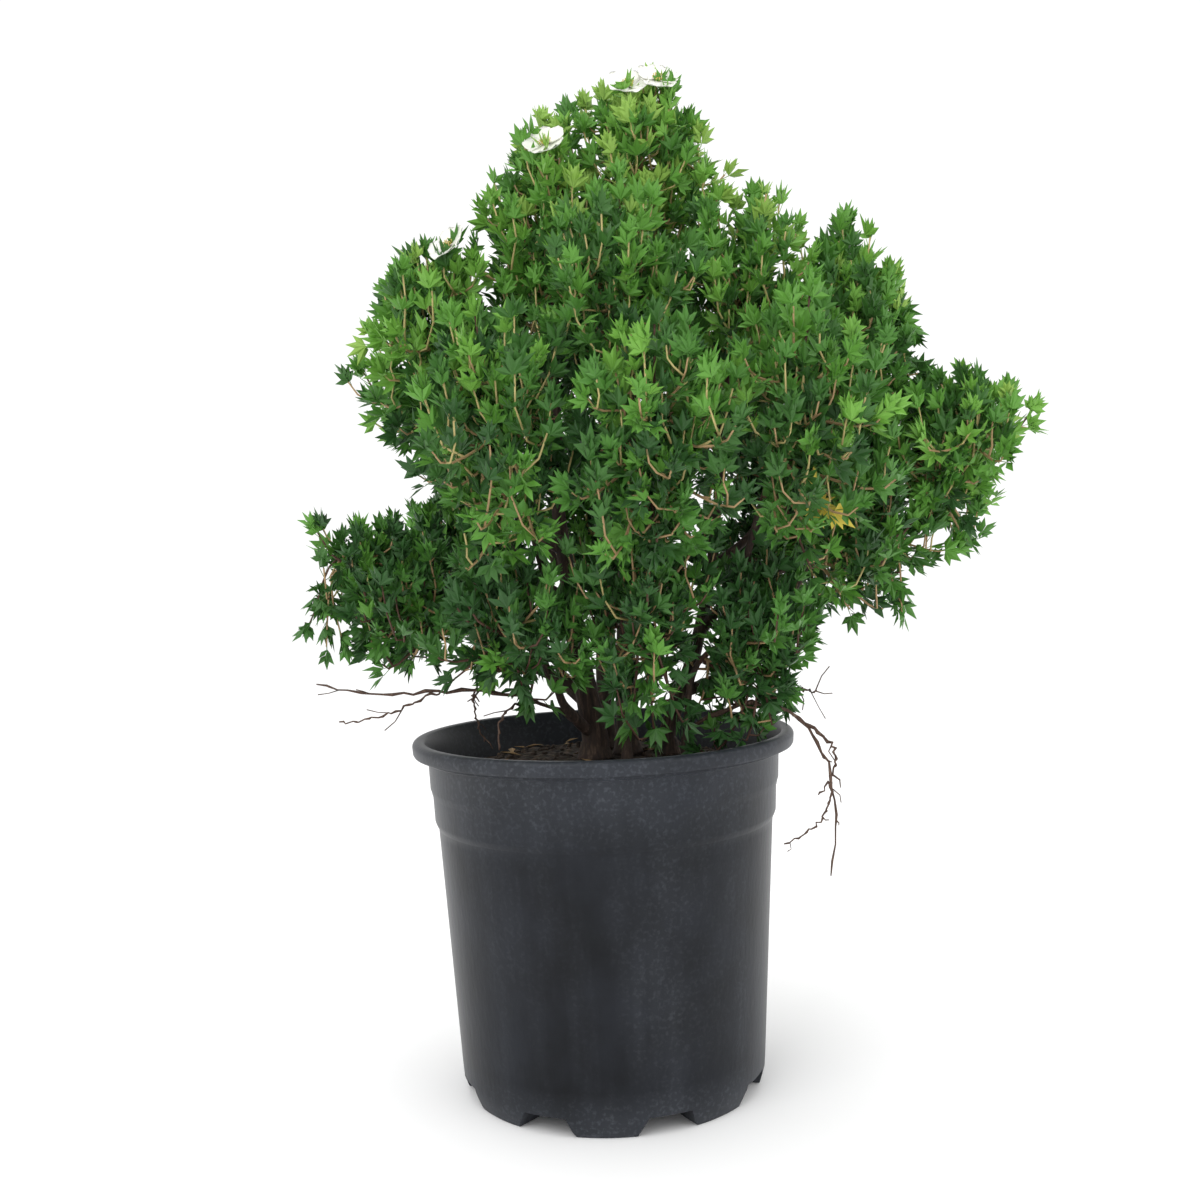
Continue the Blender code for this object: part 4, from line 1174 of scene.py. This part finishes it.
def add_stub(verts, faces, twigs, dice):
    """One short broken twig off a dead one, turned outward where it would touch the pot."""
    start, along, radius = place_on(dice.choice(twigs), dice.uniform(*STUB_SHARES))
    sideways = perpendicular(along)
    sideways.rotate(Matrix.Rotation(dice.uniform(0, math.tau), 3, along))
    length = dice.uniform(*STUB_LENGTHS)
    end = start + (along * STUB_SLANT + sideways * STUB_SLANT) * length
    if not clear_of_pot([start, end]):
        outward, shortened = STUB_NEAR_POT
        end = start + (along + Vector((end.x, end.y, 0.0)).normalized() * outward) * length * shortened
    bend = start.lerp(end, 0.5) + sideways * length * STUB_BEND
    radii = [width * share for width, share in zip((radius, radius, DEAD_TIP_RADIUS), STUB_WIDTHS)]
    tube(verts, faces, [start, bend, end], radii, STUB_SIDES)


def build_dead_twigs(name, stems, material):
    dice = random.Random(len(name))
    verts, faces = [], []
    twigs = []
    for dead in DEAD_TWIGS[name]:
        pull, lead, end = (Vector(metres(point)) for point in dead[2:])
        parent = stems[dead.parent] if dead.parent in stems else twigs[dead.parent]
        start, _, radius = place_on(parent, dead.share)
        radius = DEAD_RADIUS if dead.parent in stems else radius * DEAD_THINNER
        points = curve(start, pull, lead, end, DEAD_POINTS)
        kink(points, 1, DEAD_KINK, dice)
        radii = tapered(radius, DEAD_TIP_RADIUS, DEAD_POINTS)
        twigs.append(Limb(name, points, radii))
        for place in range(DEAD_KNOT_STEP, DEAD_POINTS - 1, DEAD_KNOT_STEP):
            radii[place] *= DEAD_KNOT
        tube(verts, faces, points, radii, DEAD_SIDES)
    for _ in range(STUBS):
        add_stub(verts, faces, twigs, dice)
    declare(new_piece("bare_" + name, verts, faces, [material], smooth=True), "bark", name)


# Pot and soil


def rounded(*rows):
    """Profile points, each a radius and a height moved out and up by so many of the pot's roundings."""
    return [(radius + POT_ROUND * out, height + POT_ROUND * up) for radius, out, height, up in rows]


def step_in(radius, foot, inner):
    """The rounded step from a band's foot in to the next radius."""
    return rounded(
        (radius - BAND_TAPER * 0.8, 0, foot, 4),
        (radius - BAND_TAPER, -0.75, foot, 0.5),
        (inner, 1, foot - BAND_STEP, 1.5),
        (inner, 0, foot - BAND_STEP, -1.5),
    )


def outer_profile():
    """The outside from the top of the bead to the foot, as radius and height."""
    bead = []
    for turn in BEAD_TURNS:
        across, rise = on_circle(BEAD_ROUND, math.radians(turn))
        bead.append((RIM_RADIUS - BEAD_ROUND + across, POT_HEIGHT - BEAD_ROUND + rise))
    bead_foot = POT_HEIGHT - BEAD_HEIGHT
    ring = rounded(
        (RIM_RADIUS, -0.75, bead_foot, 3),
        (RIM_RADIUS - BEAD_UNDERCUT, 0, bead_foot, 0),
        (RING_RADIUS, 1, bead_foot, -1),
        (RING_RADIUS, 0, bead_foot, -2),
        (RING_RADIUS, 0, bead_foot, -5),
        (RING_RADIUS, -1.5, bead_foot, -6.5),
        (BAND_1_RADIUS, 1.25, bead_foot, -8),
        (BAND_1_RADIUS, 0, bead_foot, -10.5),
    )
    bands = step_in(BAND_1_RADIUS, BAND_1_FOOT, BAND_2_RADIUS)
    bands += step_in(BAND_2_RADIUS, BAND_2_FOOT, WALL_TOP_RADIUS)[:-1]
    wall = [
        (
            WALL_TOP_RADIUS + (WALL_FOOT_RADIUS - WALL_TOP_RADIUS) * row / WALL_ROWS,
            BAND_2_FOOT - BAND_STEP + (WALL_FOOT - BAND_2_FOOT + BAND_STEP) * row / WALL_ROWS,
        )
        for row in range(WALL_ROWS + 1)
    ]
    foot = rounded(
        (WALL_FOOT_RADIUS, -1, FOOT_TURN, 0),
        (FOOT_RADIUS, 4, FOOT_TURN, -10),
        (FOOT_RADIUS, 1.75, 0, 4),
        (FOOT_RADIUS, 0, 0, 0),
    )
    return bead + ring + bands + wall + foot


def inner_wall(height):
    share = (height - WALL_FOOT) / (BAND_2_FOOT - BAND_STEP - WALL_FOOT)
    return WALL_FOOT_RADIUS + (WALL_TOP_RADIUS - WALL_FOOT_RADIUS) * share - POT_WALL


def revolve(profile, sides):
    """A closed solid of revolution about Z from a profile that starts and ends on the axis."""
    turns = [math.tau * k / sides for k in range(sides)]
    verts = [(0.0, 0.0, profile[0][1])]
    for radius, height in profile[1:-1]:
        verts += [(*on_circle(radius, turn), height) for turn in turns]
    verts.append((0.0, 0.0, profile[-1][1]))
    last = len(verts) - 1
    faces = []
    for k in range(sides):
        following = (k + 1) % sides
        faces.append((0, 1 + k, 1 + following))
        for low in range(1, last - sides, sides):
            high = low + sides
            faces.append((low + k, high + k, high + following, low + following))
        faces.append((last - sides + k, last, last - sides + following))
    return verts, faces


def notch_cutter(number):
    turn = NOTCH_FIRST + number * math.tau / NOTCHES
    mesh = bpy.data.meshes.new(f"notch_{number}")
    shape = bmesh.new()
    bmesh.ops.create_cube(shape, size=1.0)
    slope = (math.tan(NOTCH_HALF_FOOT) - math.tan(NOTCH_HALF_TOP)) / NOTCH_HEIGHT
    for corner in shape.verts:
        along = RIM_RADIUS if corner.co.x > 0 else NOTCH_INNER_RADIUS
        height = NOTCH_HEIGHT if corner.co.z > 0 else NOTCH_BELOW
        half = along * (math.tan(NOTCH_HALF_TOP) + slope * (NOTCH_HEIGHT - height))
        corner.co = (along, math.copysign(half, corner.co.y), height)
    bmesh.ops.rotate(shape, verts=shape.verts, cent=(0, 0, 0), matrix=Matrix.Rotation(turn, 3, "Z"))
    shape.to_mesh(mesh)
    shape.free()
    return new_object(mesh.name, mesh)


def dented(point):
    """The point moved inward where a dent lies."""
    x, y, z = point
    away = math.hypot(x, y)
    if z < WALL_FOOT or z > BAND_2_FOOT - BAND_STEP or away < inner_wall(z) + POT_WALL / 2:
        return point
    push = 0.0
    for turn, height, wide, tall, depth in DENTS:
        off = (math.atan2(y, x) - turn) * away
        push += depth * math.exp(-((off / wide) ** 2) - ((z - height) / tall) ** 2)
    share = (away - push) / away
    return (x * share, y * share, z)


def build_pot(material):
    inner = [
        (0.0, POT_FLOOR),
        (inner_wall(POT_FLOOR), POT_FLOOR),
        (inner_wall(BAND_2_FOOT - BAND_STEP), BAND_2_FOOT - BAND_STEP),
        (BAND_2_RADIUS - BAND_TAPER - POT_WALL, BAND_2_FOOT),
        (BAND_2_RADIUS - POT_WALL, BAND_1_FOOT - BAND_STEP),
        (BAND_1_RADIUS - BAND_TAPER - POT_WALL, BAND_1_FOOT),
        (BAND_1_RADIUS - POT_WALL, POT_HEIGHT - BEAD_HEIGHT),
    ]
    lip = rounded(
        (LIP_RADIUS, 0, POT_HEIGHT, -4.5),
        (LIP_RADIUS, 1, POT_HEIGHT, -2),
        (LIP_RADIUS, 3, POT_HEIGHT, -0.5),
    )
    verts, faces = revolve(inner + lip + outer_profile() + [(0.0, 0.0)], POT_SIDES)
    pot = new_piece("nursery_pot", verts, faces, [material], smooth=True)
    cutters = [notch_cutter(number) for number in range(NOTCHES)]
    for cutter in cutters:
        cut = pot.modifiers.new(cutter.name, "BOOLEAN")
        cut.operation = "DIFFERENCE"
        cut.object = cutter
        cut.solver = "MANIFOLD"
    graph = bpy.context.evaluated_depsgraph_get()
    mesh = bpy.data.meshes.new_from_object(pot.evaluated_get(graph))
    pot.modifiers.clear()
    pot.data = mesh
    for cutter in cutters:
        bpy.data.objects.remove(cutter)
    for vert in mesh.vertices:
        vert.co = dented(vert.co)
    mesh.materials.clear()
    mesh.materials.append(material)
    mesh.set_sharp_from_angle(angle=POT_SHARP)
    declare(pot, "nursery_plastic", "pot")


def soil_height(x, y):
    """The lie of the soil: a low mound, rough all over, lower at the pot's wall."""
    radius = math.hypot(x, y)
    share = max(0.0, (radius - SOIL_PLATEAU_RADIUS) / (SOIL_EDGE_RADIUS - SOIL_PLATEAU_RADIUS))
    rough = sum(
        math.sin(x * pitch + pitch) * math.cos(y * pitch * 1.13 + 2.1 * pitch) / smaller
        for smaller, pitch in SOIL_WAVES
    )
    slope = (SOIL_TOP - SOIL_EDGE_TOP) * share**SOIL_SLOPE
    return SOIL_TOP - slope + (rough - SOIL_WAVE_MOST) * SOIL_RELIEF / (2 * SOIL_WAVE_MOST)


def add_crumb(verts, faces, dice):
    radius = (SOIL_EDGE_RADIUS - CLEAR) * CRUMB_SPREAD * math.sqrt(dice.random())
    x, y = on_circle(radius, dice.uniform(0, math.tau))
    size = dice.uniform(*CRUMB_SIZES)
    tilt = dice.uniform(-1, 1), dice.uniform(-1, 1), dice.uniform(-CRUMB_TILT, CRUMB_TILT)
    axis = Vector(tilt).normalized()
    middle = Vector((x, y, soil_height(x, y) + size * CRUMB_LIFT))
    points = [middle + axis * size * length for length in CRUMB_LENGTHS]
    tube(verts, faces, points, [size * width for width in CRUMB_WIDTHS], TWIG_SIDES)


def build_soil(material, litter):
    """The top of the potting mix with bark crumbs and dry fallen leaflets on it."""
    edge = SOIL_EDGE_RADIUS - CLEAR
    lower = inner_wall(BAND_2_FOOT - BAND_STEP) - 2 * CLEAR
    top = [(edge * ring / SOIL_RINGS, SOIL_TOP) for ring in range(SOIL_RINGS + 1)]
    verts, faces = revolve(top + [(lower, SOIL_BOTTOM), (0.0, SOIL_BOTTOM)], SOIL_SIDES)
    verts = [(x, y, z if z == SOIL_BOTTOM else soil_height(x, y)) for x, y, z in verts]
    dice = random.Random(SOIL_SEED)
    for _ in range(CRUMBS):
        add_crumb(verts, faces, dice)
    declare(new_piece("potting_mix_top", verts, faces, [material]), "potting_soil", "soil")
    verts, faces = [], []
    for number in range(LITTER):
        radius = LITTER_REACH * math.sqrt(dice.random())
        x, y = on_circle(radius, dice.uniform(0, math.tau) if number % 2 else dice.uniform(*LITTER_FRONT))
        length, width = dice.uniform(*LITTER_LENGTHS), dice.uniform(*LITTER_WIDTHS)
        place = Vector((x, y, soil_height(x, y) + LITTER_LIFT))
        part, part_faces = leaflet_template(length, width, dice.uniform(0, math.tau), LITTER_CURL, place)
        faces += shifted(part_faces, len(verts))
        verts += part
    declare(new_piece("dry_litter", verts, faces, [litter]), "leaves")


# Light, floor and camera


def build_stage():
    white = plain_material("studio_floor", FLOOR_COLOUR, 1.0)
    floor = new_piece("floor", FLOOR_CORNERS, [(0, 1, 2, 3)], [white])
    floor.location.z = -FLOOR_BELOW
    world = bpy.data.worlds.new("studio")
    world.use_nodes = True
    background = world.node_tree.nodes["Background"]
    background.inputs["Color"].default_value = (1.0, 1.0, 1.0, 1.0)
    background.inputs["Strength"].default_value = WORLD_STRENGTH
    bpy.context.scene.world = world
    bpy.context.scene.view_settings.view_transform = "Standard"
    for name, place, size, power in LIGHTS:
        data = bpy.data.lights.new(name, "AREA")
        data.size = size
        data.energy = power
        light = new_object(name, data)
        light.location = place
        light.rotation_euler = (LIGHT_AIM - Vector(place)).to_track_quat("-Z", "Y").to_euler()


def build_camera():
    data = bpy.data.cameras.new("camera")
    data.lens = CAMERA_LENS
    data.sensor_width = CAMERA_SENSOR
    camera = new_object("camera", data)
    heading = Matrix.Rotation(-CAMERA_YAW, 4, "Z") @ Matrix.Rotation(math.pi / 2 - CAMERA_PITCH, 4, "X")
    camera.matrix_world = Matrix.Translation(CAMERA_AT) @ heading @ Matrix.Rotation(-CAMERA_ROLL, 4, "Z")
    bpy.context.scene.camera = camera


def main():
    build_camera()
    build_stage()
    build_pot(pot_material())
    soil = mottled_material("potting_mix", SOIL_STOPS, 0.95, {"scale": 190.0, "detail": 8.0}, (0.0015, 0.6))
    build_soil(soil, plain_material("dry_leaf", (0.30, 0.19, 0.085), 0.8))
    stems = {stem.name: grow_stem(stem) for stem in STEMS}
    carriers = {stem.mass: stems[stem.name] for stem in STEMS}
    boughs = {mass.name: grow_bough(mass, stems) for mass in MASSES if mass.carrier}
    old_bark = bark_material("old_bark", OLD_BARK_STOPS, OLD_BARK_SCALE)
    build_limbs([*stems.values(), *boughs.values()], old_bark)
    dead_bark = bark_material("dead_bark", DEAD_BARK_STOPS, DEAD_BARK_SCALE)
    for name in DEAD_TWIGS:
        build_dead_twigs(name, stems, dead_bark)
    build_flowers(build_crown({**carriers, **boughs}))


main()
